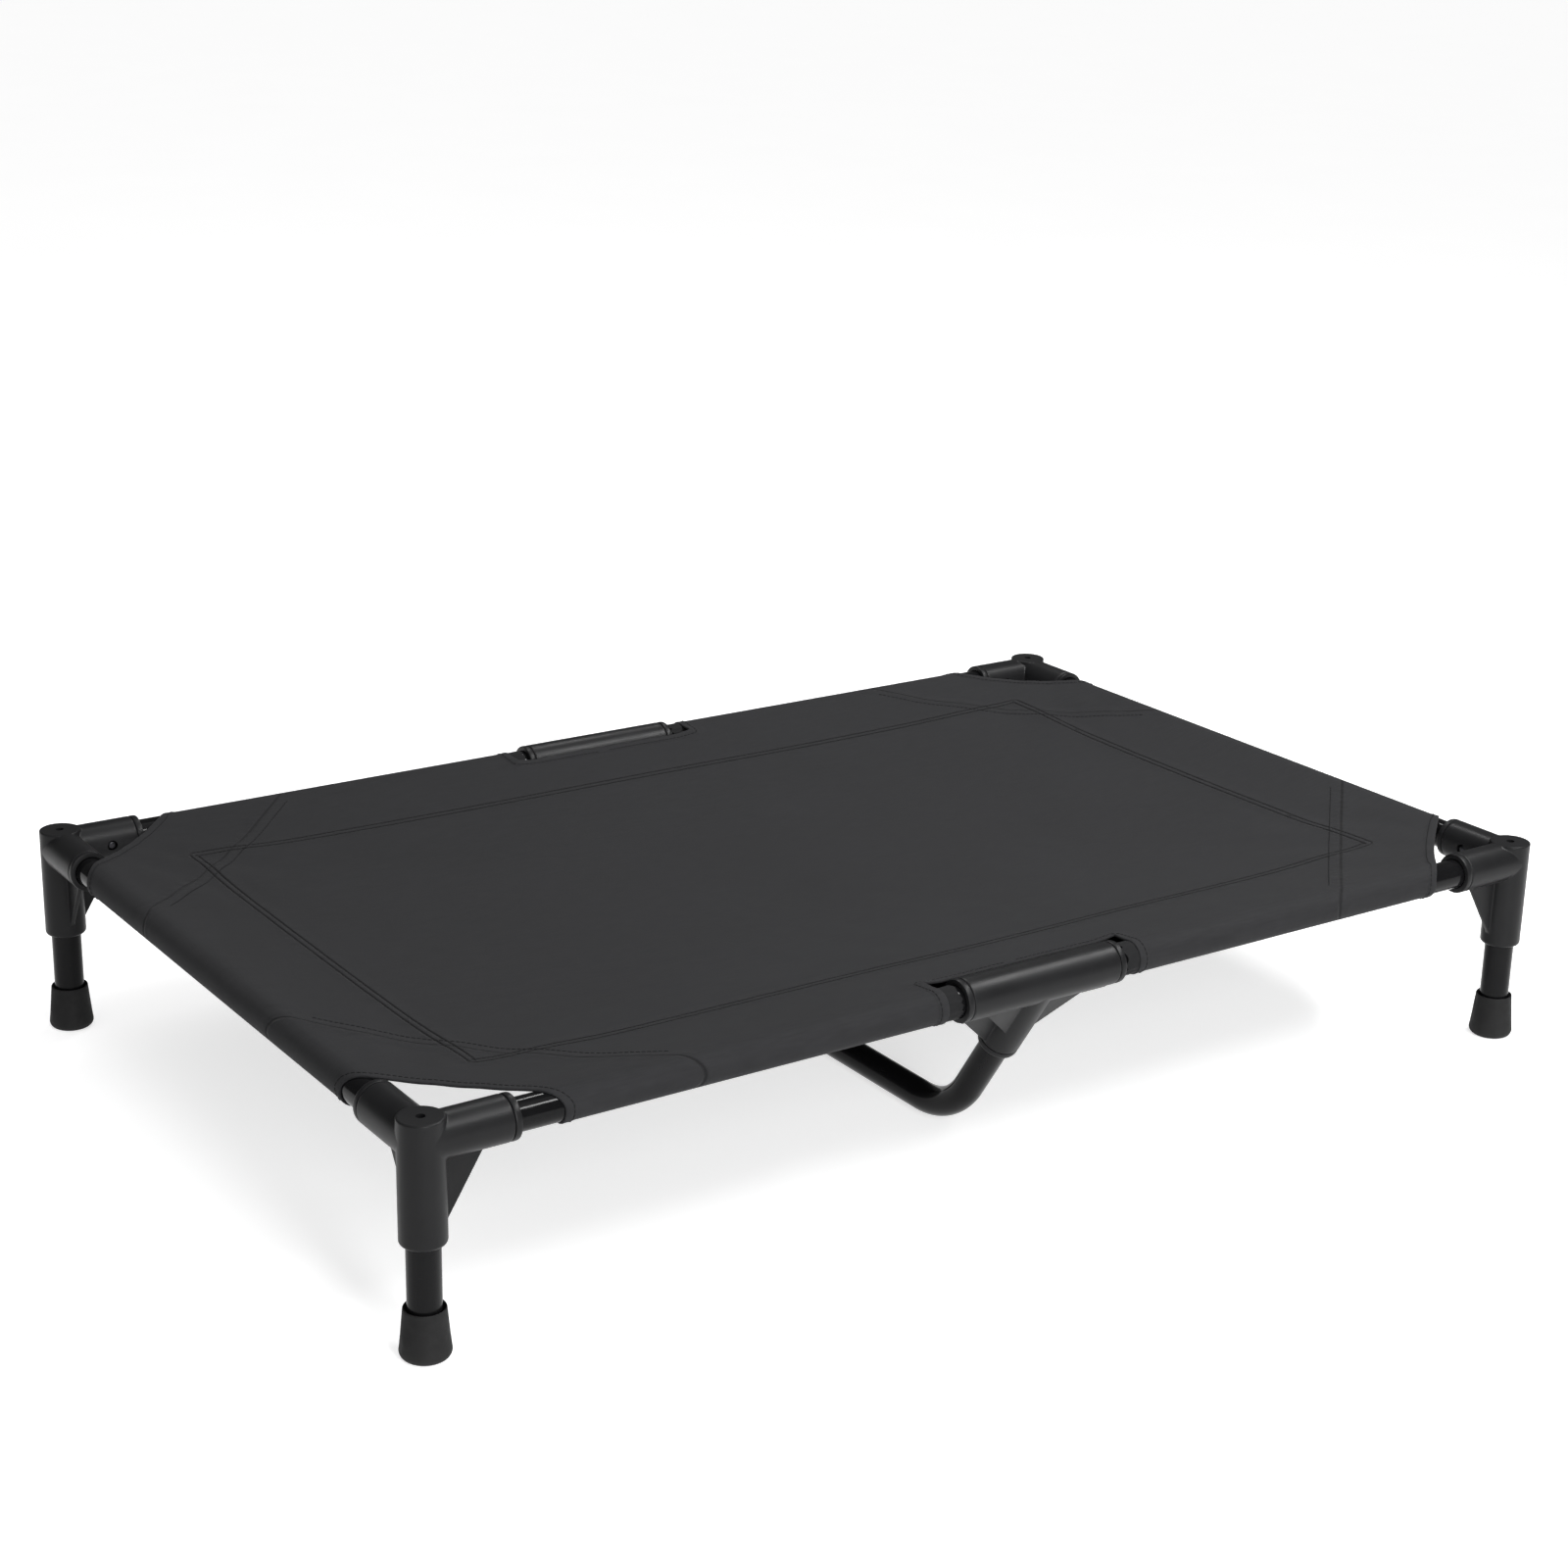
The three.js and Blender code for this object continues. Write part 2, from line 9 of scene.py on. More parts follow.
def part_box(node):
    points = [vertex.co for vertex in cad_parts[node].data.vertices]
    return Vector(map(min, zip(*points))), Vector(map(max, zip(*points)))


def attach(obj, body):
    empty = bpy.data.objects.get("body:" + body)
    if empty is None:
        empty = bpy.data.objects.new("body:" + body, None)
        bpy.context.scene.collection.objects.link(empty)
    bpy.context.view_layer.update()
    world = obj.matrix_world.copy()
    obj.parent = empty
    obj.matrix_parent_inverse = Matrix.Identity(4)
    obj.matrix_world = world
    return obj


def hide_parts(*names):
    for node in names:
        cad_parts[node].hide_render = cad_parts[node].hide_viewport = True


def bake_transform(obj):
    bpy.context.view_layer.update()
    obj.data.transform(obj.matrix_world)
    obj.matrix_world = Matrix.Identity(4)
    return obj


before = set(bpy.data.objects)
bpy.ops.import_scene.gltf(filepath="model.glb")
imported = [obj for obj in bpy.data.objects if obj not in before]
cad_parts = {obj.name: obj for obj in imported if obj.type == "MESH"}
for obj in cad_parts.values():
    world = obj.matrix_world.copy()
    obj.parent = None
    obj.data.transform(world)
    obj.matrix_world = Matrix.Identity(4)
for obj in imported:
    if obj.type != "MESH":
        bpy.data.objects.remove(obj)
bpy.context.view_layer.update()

# ---- Dimensions read from the frame, in metres ----
MM = 0.001
leg_low, leg_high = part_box("leg_tube_front_right")
corner_low, corner_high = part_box("corner_front_left")
mid_low, mid_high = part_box("mid_connector_front")
foot_low, foot_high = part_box("rubber_foot_front_right")
brace_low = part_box("centre_brace")[0]
cover_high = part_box("bed_cover")[1]
rail_low, rail_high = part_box("side_rail_right")
spring_low, spring_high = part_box("button_spring_front_left_outer")

HALF_X = (leg_low.x + leg_high.x) / 2
HALF_Y = -(leg_low.y + leg_high.y) / 2
TUBE_R = (leg_high.x - leg_low.x) / 2
RAIL_Z = (rail_low.z + rail_high.z) / 2
SOCKET_R = -HALF_X - corner_low.x
SOCKET_REACH = corner_high.x + HALF_X
COLLAR_R = corner_high.z - RAIL_Z
BOSS_TOP = RAIL_Z + SOCKET_R
BOSS_BOTTOM = corner_low.z
SLEEVE_HALF = mid_high.x
FOOT_R = (foot_high.x - foot_low.x) / 2
FOOT_TOP = foot_high.z
BRACE_LEVEL = brace_low.z + TUBE_R
BORE_R = TUBE_R + 0.3 * MM
TUBE_WALL = 1.2 * MM
COLLAR_WIDTH = 5 * MM
GUSSET = 4 * MM
GUSSET_REACH = 48 * MM
GUSSET_TOE = 10 * MM
TOP_THICKNESS = 4 * MM
TOP_HOLE_R = 3.5 * MM
BUTTON_STATION = 40 * MM
SLEEVE_BUTTON_STATION = 50 * MM
SLEEVE_STOP = 21 * MM
SOCKET_HOLE_R = 4.5 * MM
TUBE_HOLE_R = 3.8 * MM
SPRING_FRONT = spring_high.y + HALF_Y - 0.4 * MM
SPRING_BACK = spring_low.y + HALF_Y + 0.4 * MM

# The slanted socket's direction and depth follow from the brace and the connector's lowest edge.
BRACE_ANGLE = math.radians(57)
BRACE_DOWN = Vector((0, math.cos(BRACE_ANGLE), -math.sin(BRACE_ANGLE)))
BRACE_BEND = 73 * MM
SKIRT_DEPTH = 17 * MM
SKIRT_WIDTH = 22 * MM
OUTER_WEB_CORNER = 63 * MM
OUTER_WEB_OFFSET = 9 * MM
BRACE_SOCKET_DEPTH = (RAIL_Z - mid_low.z - COLLAR_R * math.cos(BRACE_ANGLE)) / math.sin(BRACE_ANGLE)

# Cover
CLOTH_R = cover_high.x - HALF_X - 0.5 * MM
CLOTH_THICKNESS = 0.7 * MM
SAG = 25 * MM
SEAM_INSET = 85 * MM
SEAM_GAP = 6 * MM
DIAGONAL_REACH = 205 * MM
CORNER_X = 92 * MM
CORNER_Y = 84 * MM
CORNER_UNDERCUT = 13 * MM
CORNER_HOLLOW = 4 * MM
NOTCH_HALF = 95 * MM
NOTCH_DEPTH = 20 * MM
FLAP_NOTCH_DEPTH = 34 * MM
HEM_WIDTH = 9 * MM

X = Vector((1, 0, 0))
Y = Vector((0, 1, 0))
Z = Vector((0, 0, 1))
ROUND = 64
SMALL_ROUND = 32

# Camera, in degrees, metres and millimetres of lens and sensor, and the light that the floor gives
CAMERA_TURNS = (34.604, 18.548, 1.262)
CAMERA_PLACE = Vector((-1.3080, -1.8814, 0.9967))
CAMERA_LENS = 64.562
CAMERA_SENSOR = 36
FLOOR_GLOW = 0.68
FLOOR_HALF = 30.0
WORLD_LIGHT = 0.12


# ---- Mesh helpers ----
class Shell:
    """Vertices and faces that are collected before they become one object."""

    def __init__(self):
        self.vertices = []
        self.faces = []

    def add(self, vertices, faces):
        start = len(self.vertices)
        self.vertices.extend(vertices)
        self.faces.extend([start + i for i in face] for face in faces)
        return self


def circle(count):
    return [(math.cos(2 * math.pi * i / count), math.sin(2 * math.pi * i / count)) for i in range(count)]


def revolve(shell, profile, origin=Vector(), axis=Z, closed=False, segments=ROUND):
    """Turns (radius, distance) points about an axis. An open profile starts and ends on the axis."""
    turn = Z.rotation_difference(axis)
    rings = []
    vertices = []
    for radius, distance in profile:
        if radius < 1e-7:
            rings.append([len(vertices)] * segments)
            vertices.append(origin + turn @ Vector((0, 0, distance)))
        else:
            rings.append(range(len(vertices), len(vertices) + segments))
            ring = [Vector((radius * c, radius * s, distance)) for c, s in circle(segments)]
            vertices.extend(origin + turn @ point for point in ring)
    pairs = list(zip(rings, rings[1:]))
    if closed:
        pairs.append((rings[-1], rings[0]))
    faces = []
    for lower, upper in pairs:
        for i in range(segments):
            j = (i + 1) % segments
            corners = [lower[i], lower[j], upper[j], upper[i]]
            face = [v for k, v in enumerate(corners) if v not in corners[:k]]
            if len(face) > 2:
                faces.append(face)
    return shell.add(vertices, faces)


def rod(shell, radius, start, end, segments=ROUND):
    length = (end - start).length
    profile = [(0, 0), (radius, 0), (radius, length), (0, length)]
    return revolve(shell, profile, start, (end - start).normalized(), segments=segments)


def slab(shell, outline, thickness, matrix):
    """A flat plate from (x, y) corners, centred on its own XY plane, then placed by a matrix."""
    count = len(outline)
    vertices = [matrix @ Vector((x, y, side * thickness / 2)) for side in (-1, 1) for x, y in outline]
    faces = [list(range(count))[::-1], list(range(count, 2 * count))]
    faces += [[i, (i + 1) % count, count + (i + 1) % count, count + i] for i in range(count)]
    return shell.add(vertices, faces)


def basis(x_axis, y_axis, z_axis, origin=Vector()):
    """Matrix that carries the three axes and the origin to the given ones."""
    matrix = Matrix((x_axis, y_axis, z_axis)).transposed().to_4x4()
    matrix.translation = origin
    return matrix


def arc(steps, turn, first=0):
    """Angles from a first step to the end of a turn, in equal steps."""
    return [step / steps * turn for step in range(first, steps + 1)]


def add_object(name, data):
    made = bpy.data.objects.new(name, data)
    bpy.context.scene.collection.objects.link(made)
    return made


def mesh_from(shell, name):
    mesh = bpy.data.meshes.new(name)
    mesh.from_pydata([tuple(v) for v in shell.vertices], [], shell.faces)
    work = bmesh.new()
    work.from_mesh(mesh)
    bmesh.ops.recalc_face_normals(work, faces=work.faces)
    work.to_mesh(mesh)
    work.free()
    return mesh


def finished(mesh, sharp=35):
    """Smooth shading, with creases kept where faces meet more steeply than the given angle."""
    mesh.shade_smooth()
    mesh.set_sharp_from_angle(angle=math.radians(sharp))
    return mesh


def place(name, mesh, material, body, slot, nodes, matrix=None):
    """Shows a mesh in place of CAD nodes, riding on their body."""
    piece = add_object(name, mesh)
    if matrix is not None:
        piece.matrix_world = matrix
    if not mesh.materials:
        mesh.materials.append(material)
    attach(piece, body)
    if nodes:
        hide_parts(*nodes)
    return piece


def applied(mesh, *modifiers):
    """A new mesh with modifiers applied; each is (type, settings)."""
    carrier = add_object("carrier", mesh)
    for kind, settings in modifiers:
        modifier = carrier.modifiers.new(kind.title(), kind)
        for key, value in settings.items():
            setattr(modifier, key, value)
    graph = bpy.context.evaluated_depsgraph_get()
    result = bpy.data.meshes.new_from_object(carrier.evaluated_get(graph))
    bpy.data.objects.remove(carrier)
    return result


def moulded(shells, bores, name):
    """One moulding: overlapping shells fused with small fillets, then bored out cleanly."""
    voxel = 0.55 * MM
    fused = applied(
        mesh_from(shells, name),
        ("REMESH", {"mode": "VOXEL", "voxel_size": voxel}),
        ("SMOOTH", {"factor": 0.5, "iterations": 5}),
    )
    return cut(fused, bores, name)


def cut(mesh, bores, name):
    cutter = add_object("cutter", mesh_from(bores, "cutter"))
    result = applied(mesh, ("BOOLEAN", {"operation": "DIFFERENCE", "solver": "EXACT", "object": cutter}))
    bpy.data.objects.remove(cutter)
    result.name = name
    return result


# ---- Material helpers ----
def new_material(name, colour, roughness, **sockets):
    """A material and its shader. Other sockets are given by name, with _ for a space."""
    material = bpy.data.materials.new(name)
    material.use_nodes = True
    shader = material.node_tree.nodes["Principled BSDF"]
    shader.inputs["Base Color"].default_value = (*colour, 1)
    shader.inputs["Roughness"].default_value = roughness
    for socket, value in sockets.items():
        shader.inputs[socket.replace("_", " ")].default_value = value
    return material, shader


class Graph:
    """Short names for wiring a material's nodes."""

    def __init__(self, material):
        self.tree = material.node_tree

    def node(self, kind, inputs=(), **settings):
        made = self.tree.nodes.new("ShaderNode" + kind)
        for key, value in settings.items():
            setattr(made, key, value)
        for socket, value in dict(inputs).items():
            self.feed(made.inputs[socket], value)
        return made

    def feed(self, socket, value):
        if isinstance(value, bpy.types.NodeSocket):
            self.tree.links.new(value, socket)
        else:
            socket.default_value = value

    def math(self, operation, first, second=0.0):
        return self.node("Math", {0: first, 1: second}, operation=operation).outputs[0]

    def object_place(self):
        return self.node("TexCoord").outputs["Object"]

    def noise(self, place, scale, detail=3.0, roughness=0.5):
        inputs = {"Vector": place, "Scale": scale, "Detail": detail, "Roughness": roughness}
        return self.node("TexNoise", inputs).outputs["Fac"]

    def ramp(self, value, low, high, start=0.0, end=1.0):
        """Maps start..end of a value smoothly to low..high."""
        inputs = {"Value": value, "From Min": start, "From Max": end, "To Min": low, "To Max": high}
        return self.node("MapRange", inputs, interpolation_type="SMOOTHSTEP").outputs["Result"]

    def blend(self, factor, first, second):
        mix = self.node("Mix", data_type="RGBA")
        self.feed(mix.inputs["Factor"], factor)
        self.feed(mix.inputs["A"], (*first, 1))
        self.feed(mix.inputs["B"], (*second, 1))
        return mix.outputs["Result"]

    def bump(self, height, distance, strength=1.0, below=None):
        inputs = {"Height": height, "Distance": distance, "Strength": strength}
        if below is not None:
            inputs["Normal"] = below
        return self.node("Bump", inputs).outputs["Normal"]


# ---- Materials ----
def plastic_material():
    """Black moulded plastic: spark-eroded grain, faint cloudiness and slightly polished patches."""
    material, shader = new_material("connector_plastic", (0.009, 0.009, 0.0095), 0.36,
                                    Specular_IOR_Level=0.12)
    graph = Graph(material)
    place_at = graph.object_place()
    clouds = graph.noise(place_at, 28.0, 4.0)
    grain = graph.noise(place_at, 1500.0, 2.0)
    colour = graph.blend(clouds, (0.007, 0.007, 0.0074), (0.011, 0.0111, 0.0117))
    graph.feed(shader.inputs["Base Color"], colour)
    graph.feed(shader.inputs["Roughness"], graph.ramp(clouds, 0.34, 0.4, 0.3, 0.7))
    graph.feed(shader.inputs["Normal"], graph.bump(grain, 0.05 * MM, 0.4))
    return material


def steel_material(name, low_roughness, high_roughness, specular):
    """Black coated tube: orange peel, a few fine rub marks and small changes of gloss."""
    material, shader = new_material(name, (0.006, 0.006, 0.0065), low_roughness,
                                    Specular_IOR_Level=specular)
    graph = Graph(material)
    place_at = graph.object_place()
    peel = graph.noise(place_at, 420.0, 2.0)
    patches = graph.noise(place_at, 22.0, 5.0, 0.6)
    rubs = graph.noise(place_at, 140.0, 6.0, 0.75)
    colour = graph.blend(patches, (0.003, 0.003, 0.0033), (0.0055, 0.0055, 0.0059))
    graph.feed(shader.inputs["Base Color"], colour)
    gloss = graph.math("ADD", graph.ramp(patches, low_roughness, high_roughness, 0.3, 0.7),
                       graph.ramp(rubs, 0.0, 0.14, 0.6, 0.72))
    graph.feed(shader.inputs["Roughness"], gloss)
    graph.feed(shader.inputs["Normal"], graph.bump(peel, 0.06 * MM, 0.35))
    return material


def rubber_material():
    """Matte black rubber with a dusty bloom, heavier near the floor."""
    material, shader = new_material("foot_rubber", (0.012, 0.012, 0.0122), 0.72, Specular_IOR_Level=0.2)
    graph = Graph(material)
    place_at = graph.object_place()
    bloom = graph.noise(place_at, 60.0, 5.0, 0.65)
    height = graph.node("SeparateXYZ", {0: place_at}).outputs["Z"]
    dust = graph.math("MULTIPLY", bloom, graph.ramp(height, 1.0, 0.35, 0.0, FOOT_TOP / 2))
    graph.feed(shader.inputs["Base Color"], graph.blend(dust, (0.006, 0.006, 0.0062), (0.014, 0.014, 0.014)))
    graph.feed(shader.inputs["Roughness"], graph.ramp(bloom, 0.62, 0.82, 0.3, 0.7))
    graph.feed(shader.inputs["Normal"], graph.bump(graph.noise(place_at, 900.0, 3.0), 0.08 * MM, 0.5))
    return material


def plated_material(name, dark, light, roughness):
    """Plated steel: fine drawn lines and a mottled sheen."""
    material, shader = new_material(name, light, roughness, Metallic=1.0)
    graph = Graph(material)
    place_at = graph.object_place()
    mottle = graph.noise(place_at, 300.0, 4.0)
    graph.feed(shader.inputs["Base Color"], graph.blend(mottle, dark, light))
    graph.feed(shader.inputs["Roughness"], graph.ramp(mottle, roughness - 0.06, roughness + 0.12, 0.3, 0.7))
    graph.feed(shader.inputs["Normal"], graph.bump(graph.noise(place_at, 2600.0, 2.0), 0.02 * MM, 0.4))
    return material


def seam_distance(graph, along_x, along_y):
    """Distance on the cloth to the nearest of the two parallel seams, as a node value."""
    across = graph.math("ABSOLUTE", graph.math("SUBTRACT", along_y, HALF_Y - SEAM_INSET))
    up = graph.math("ABSOLUTE", graph.math("SUBTRACT", along_x, HALF_X - SEAM_INSET))
    past_x = graph.math("MAXIMUM", graph.math("SUBTRACT", along_x, HALF_X - SEAM_INSET), 0.0)
    past_y = graph.math("MAXIMUM", graph.math("SUBTRACT", along_y, HALF_Y - SEAM_INSET), 0.0)
    long_seam = graph.math("ADD", across, past_x)
    short_seam = graph.math("ADD", up, past_y)
    return graph.math("MINIMUM", long_seam, short_seam)


def fabric_material(name, dark, light):
    """Coated oxford cloth: over-and-under weave, slubs, sunken seams with small puckers and painted shade in
    their grooves, soft sheen.
    """
    material, shader = new_material(name, light, 0.82, Specular_IOR_Level=0.1, Sheen_Weight=0.03,
                                    Sheen_Roughness=0.45)
    graph = Graph(material)
    place_at = graph.object_place()
    split = graph.node("SeparateXYZ", {0: place_at})
    along_x = graph.math("ABSOLUTE", split.outputs["X"])
    along_y = graph.math("ABSOLUTE", split.outputs["Y"])
    thread = 2 * math.pi / (0.85 * MM)
    warp = graph.math("SINE", graph.math("MULTIPLY", split.outputs["X"], thread))
    weft = graph.math("SINE", graph.math("MULTIPLY", split.outputs["Y"], thread))
    weave = graph.math("MULTIPLY", warp, weft)
    slub = graph.noise(graph.node("Mapping", {"Vector": place_at, "Scale": (1, 14, 1)}).outputs[0], 60.0, 3.0)
    clouds = graph.noise(place_at, 9.0, 4.0, 0.55)
    mottle = graph.math("MULTIPLY", graph.math("ADD", slub, clouds), 0.5)
    tone = graph.math("ADD", graph.math("MULTIPLY", weave, 0.16), mottle)
    graph.feed(shader.inputs["Roughness"], graph.ramp(clouds, 0.74, 0.88, 0.3, 0.7))
    seam = seam_distance(graph, along_x, along_y)
    diagonal = graph.math("ABSOLUTE", graph.math("MULTIPLY", graph.math(
        "SUBTRACT", graph.math("ADD", along_x, along_y), HALF_X + HALF_Y - DIAGONAL_REACH), math.sqrt(0.5)))
    from_row = graph.math("ABSOLUTE", graph.math("SUBTRACT", seam, SEAM_GAP / 2))
    double = graph.ramp(from_row, 0.0, 1.0, 0.0, 2.2 * MM)
    single = graph.ramp(diagonal, 0.0, 1.0, 0.0, 2.2 * MM)
    groove = graph.math("MINIMUM", double, single)
    # Painted shade: the colour is darkened along the seam grooves, where shade falls.
    tone_with_painted_seam_shade = graph.math("MULTIPLY", tone, graph.ramp(groove, 0.0, 1.0))
    graph.feed(shader.inputs["Base Color"], graph.blend(tone_with_painted_seam_shade, dark, light))
    near = graph.ramp(graph.math("MINIMUM", seam, diagonal), 1.0, 0.0, 0.0, 16 * MM)
    pucker = graph.math("MULTIPLY", graph.noise(place_at, 75.0, 2.0), near)
    soft = graph.bump(graph.math("ADD", groove, graph.math("MULTIPLY", pucker, 1.6)), 0.9 * MM, 1.0)
    fine = graph.math("ADD", weave, graph.math("MULTIPLY", slub, 1.5))
    graph.feed(shader.inputs["Normal"], graph.bump(fine, 0.05 * MM, 0.5, soft))
    return material


def thread_material():
    """Black polyester thread with a twisted lay."""
    material, shader = new_material("cover_thread", (0.008, 0.008, 0.0085), 0.7, Specular_IOR_Level=0.1)
    graph = Graph(material)
    place_at = graph.object_place()
    twist = graph.noise(place_at, 1800.0, 2.0)
    colour = graph.blend(twist, (0.004, 0.004, 0.0043), (0.011, 0.011, 0.0117))
    graph.feed(shader.inputs["Base Color"], colour)
    graph.feed(shader.inputs["Normal"], graph.bump(twist, 0.05 * MM, 0.6))
    return material


PLASTIC = plastic_material()
GLOSS_STEEL = steel_material("gloss_steel", 0.09, 0.14, 0.1)
SATIN_STEEL = steel_material("satin_steel", 0.18, 0.25, 0.1)
RUBBER = rubber_material()
BUTTON_STEEL = plated_material("button_steel", (0.02, 0.02, 0.022), (0.055, 0.055, 0.06), 0.34)
SPRING_STEEL = plated_material("spring_steel", (0.26, 0.265, 0.28), (0.42, 0.42, 0.44), 0.34)
FABRIC = fabric_material("cover_fabric", (0.009, 0.009, 0.0096), (0.0235, 0.0236, 0.0252))
# A darker copy of the cover fabric for the cuffs: painted shade for the shadow round the rail beside the
# connectors.
PAINTED_SHADE_FABRIC = fabric_material("cuff_fabric_painted_shade", (0.005, 0.005, 0.0053), (0.0125, 0.0126, 0.0134))
THREAD = thread_material()


# ---- Connectors ----
def collar(shell, reach, origin, axis):
    """The rounded ring at a socket mouth."""
    profile = [(BORE_R, reach - COLLAR_WIDTH), (SOCKET_R - MM, reach - COLLAR_WIDTH)]
    for angle in arc(10, math.pi):
        bulge = math.sin(angle) ** 0.6
        along = reach - COLLAR_WIDTH / 2 * (1 + math.cos(angle))
        profile.append((SOCKET_R - 0.6 * MM + (COLLAR_R - SOCKET_R + 0.6 * MM) * bulge, along))
    profile += [(BORE_R + 0.5 * MM, reach), (BORE_R, reach - 0.5 * MM)]
    revolve(shell, profile, origin, axis, closed=True)


def socket(shell, reach, origin, axis):
    """The plain stretch of a socket, with a fine groove before its collar."""
    groove = reach - COLLAR_WIDTH - 0.9 * MM
    rod(shell, SOCKET_R, origin, origin + axis * groove)
    rod(shell, SOCKET_R - 1.2 * MM, origin, origin + axis * (reach - MM))


def boss_profile():
    rounding = 3 * MM
    profile = [(0, BOSS_BOTTOM)]
    for angle in arc(6, math.pi / 2):
        radius = SOCKET_R - rounding * (1 - math.sin(angle))
        profile.append((radius, BOSS_BOTTOM + rounding * (1 - math.cos(angle))))
    return profile + [(SOCKET_R, BOSS_TOP - 0.6 * MM), (SOCKET_R - 0.6 * MM, BOSS_TOP), (0, BOSS_TOP)]


def standing(direction):
    """Matrix that stands a slab up: its x along the direction, its y up."""
    return basis(direction, Z, direction.cross(Z))


def button_hole(bores, site, inward):
    rod(bores, SOCKET_HOLE_R, site, site + inward * (SOCKET_R + 2 * MM), SMALL_ROUND)


def corner_mesh():
    centre = Vector((0, 0, RAIL_Z))
    shells = revolve(Shell(), boss_profile())
    gusset_top = RAIL_Z - SOCKET_R + 2 * MM
    toe = BOSS_BOTTOM + GUSSET_TOE
    outline = [(0, gusset_top), (GUSSET_REACH, gusset_top), (SOCKET_R - MM, toe), (0, toe)]
    bores = Shell()
    ceiling = Z * (BOSS_TOP - TOP_THICKNESS)
    rod(bores, BORE_R, Z * (BOSS_BOTTOM - MM), ceiling)
    rod(bores, TOP_HOLE_R, ceiling - Z * MM, Z * (BOSS_TOP + MM), SMALL_ROUND)
    for along, inward in ((X, Y), (Y, X)):
        socket(shells, SOCKET_REACH, centre, along)
        slab(shells, outline, GUSSET, standing(along))
        rod(bores, BORE_R, centre + along * (BORE_R + 4 * MM), centre + along * (SOCKET_REACH + MM))
        button_hole(bores, centre + along * BUTTON_STATION, inward)
    mesh = moulded(shells, bores, "corner_moulding")
    return with_collars(mesh, [(SOCKET_REACH, centre, X), (SOCKET_REACH, centre, Y)])


def with_collars(mesh, collars):
    rings = Shell()
    for reach, origin, axis in collars:
        collar(rings, reach, origin, axis)
    work = bmesh.new()
    work.from_mesh(mesh)
    work.from_mesh(mesh_from(rings, "collars"))
    work.to_mesh(mesh)
    work.free()
    return finished(mesh)


def slanted_plate(shell, outline, thickness, offset):
    """A plate in the plane of the brace socket, from (x, distance from the rail axis) corners."""
    square = X.cross(BRACE_DOWN)
    slab(shell, outline, thickness, basis(X, BRACE_DOWN, square, Z * RAIL_Z + square * offset))


def web_outline(corner, root):
    """Two 45 degree free edges between the sleeve and the socket."""
    reach = corner - root
    return [(-reach, root), (reach, root), (BORE_R, corner - BORE_R), (-BORE_R, corner - BORE_R)]


def mid_mesh():
    centre = Vector((0, 0, RAIL_Z))
    mouths = [(SLEEVE_HALF, centre, X), (SLEEVE_HALF, centre, -X), (BRACE_SOCKET_DEPTH, centre, BRACE_DOWN)]
    shells = Shell()
    for mouth in mouths:
        socket(shells, *mouth)
    ends = SLEEVE_HALF - COLLAR_WIDTH - MM
    slanted_plate(shells, [(-ends, 0), (ends, 0), (ends, SKIRT_DEPTH), (-ends, SKIRT_DEPTH)], SKIRT_WIDTH, 0)
    slanted_plate(shells, web_outline(SLEEVE_HALF + COLLAR_R - 6 * MM, SOCKET_R - MM), GUSSET, 0)
    slanted_plate(shells, web_outline(OUTER_WEB_CORNER, SKIRT_DEPTH - MM), GUSSET, -OUTER_WEB_OFFSET)
    slant_end = centre + BRACE_DOWN * (BRACE_SOCKET_DEPTH + MM)
    bores = rod(Shell(), BORE_R, centre + BRACE_DOWN * 4 * MM, slant_end)
    for side in (-1, 1):
        rod(bores, BORE_R, centre + X * side * SLEEVE_STOP, centre + X * side * (SLEEVE_HALF + MM))
        button_hole(bores, centre + X * side * SLEEVE_BUTTON_STATION, Y)
    return with_collars(moulded(shells, bores, "mid_moulding"), mouths)


# ---- Tubes, feet and buttons ----
def tube_profile(start, end):
    soft = 0.3 * MM
    inner = TUBE_R - TUBE_WALL
    return [(inner, start), (TUBE_R - soft, start), (TUBE_R, start + soft), (TUBE_R, end - soft),
            (TUBE_R - soft, end), (inner, end)]


def tube_mesh(start, end, button_holes, name):
    span = end - start
    shell = revolve(Shell(), tube_profile(0, span.length), start, span.normalized(), closed=True)
    mesh = mesh_from(shell, name)
    if button_holes:
        holes = Shell()
        for site, inward in button_holes:
            rod(holes, TUBE_HOLE_R, site, site + inward * TUBE_R * 1.5, SMALL_ROUND)
        mesh = cut(mesh, holes, name)
    return finished(mesh)


def foot_mesh():
    """Tapered rubber cup with a rounded tread edge and a rolled rim."""
    base, bulge, neck, lip = 14 * MM, 5.5 * MM, 15.6 * MM, 1.3 * MM
    profile = [(0, 0.4 * MM), (base - 3 * MM, 0.4 * MM), (base - 2.4 * MM, 0), (base, 0)]
    for angle in arc(10, math.pi / 2, first=1):
        profile.append((base + (FOOT_R - base) * math.sin(angle), bulge * (1 - math.cos(angle))))
    for step in range(1, 9):
        share = step / 8
        height = bulge + (FOOT_TOP - lip - bulge) * share
        profile.append((FOOT_R + (neck - FOOT_R) * (0.8 * share + 0.2 * share ** 0.5), height))
    for angle in arc(6, math.pi, first=1):
        profile.append((neck - lip * (1 - math.cos(angle)) / 2, FOOT_TOP - lip + lip * math.sin(angle)))
    profile += [(BORE_R, FOOT_TOP - 2 * lip), (BORE_R, 4 * MM), (0, 4 * MM)]
    return finished(mesh_from(revolve(Shell(), profile), "foot_moulding"), 50)


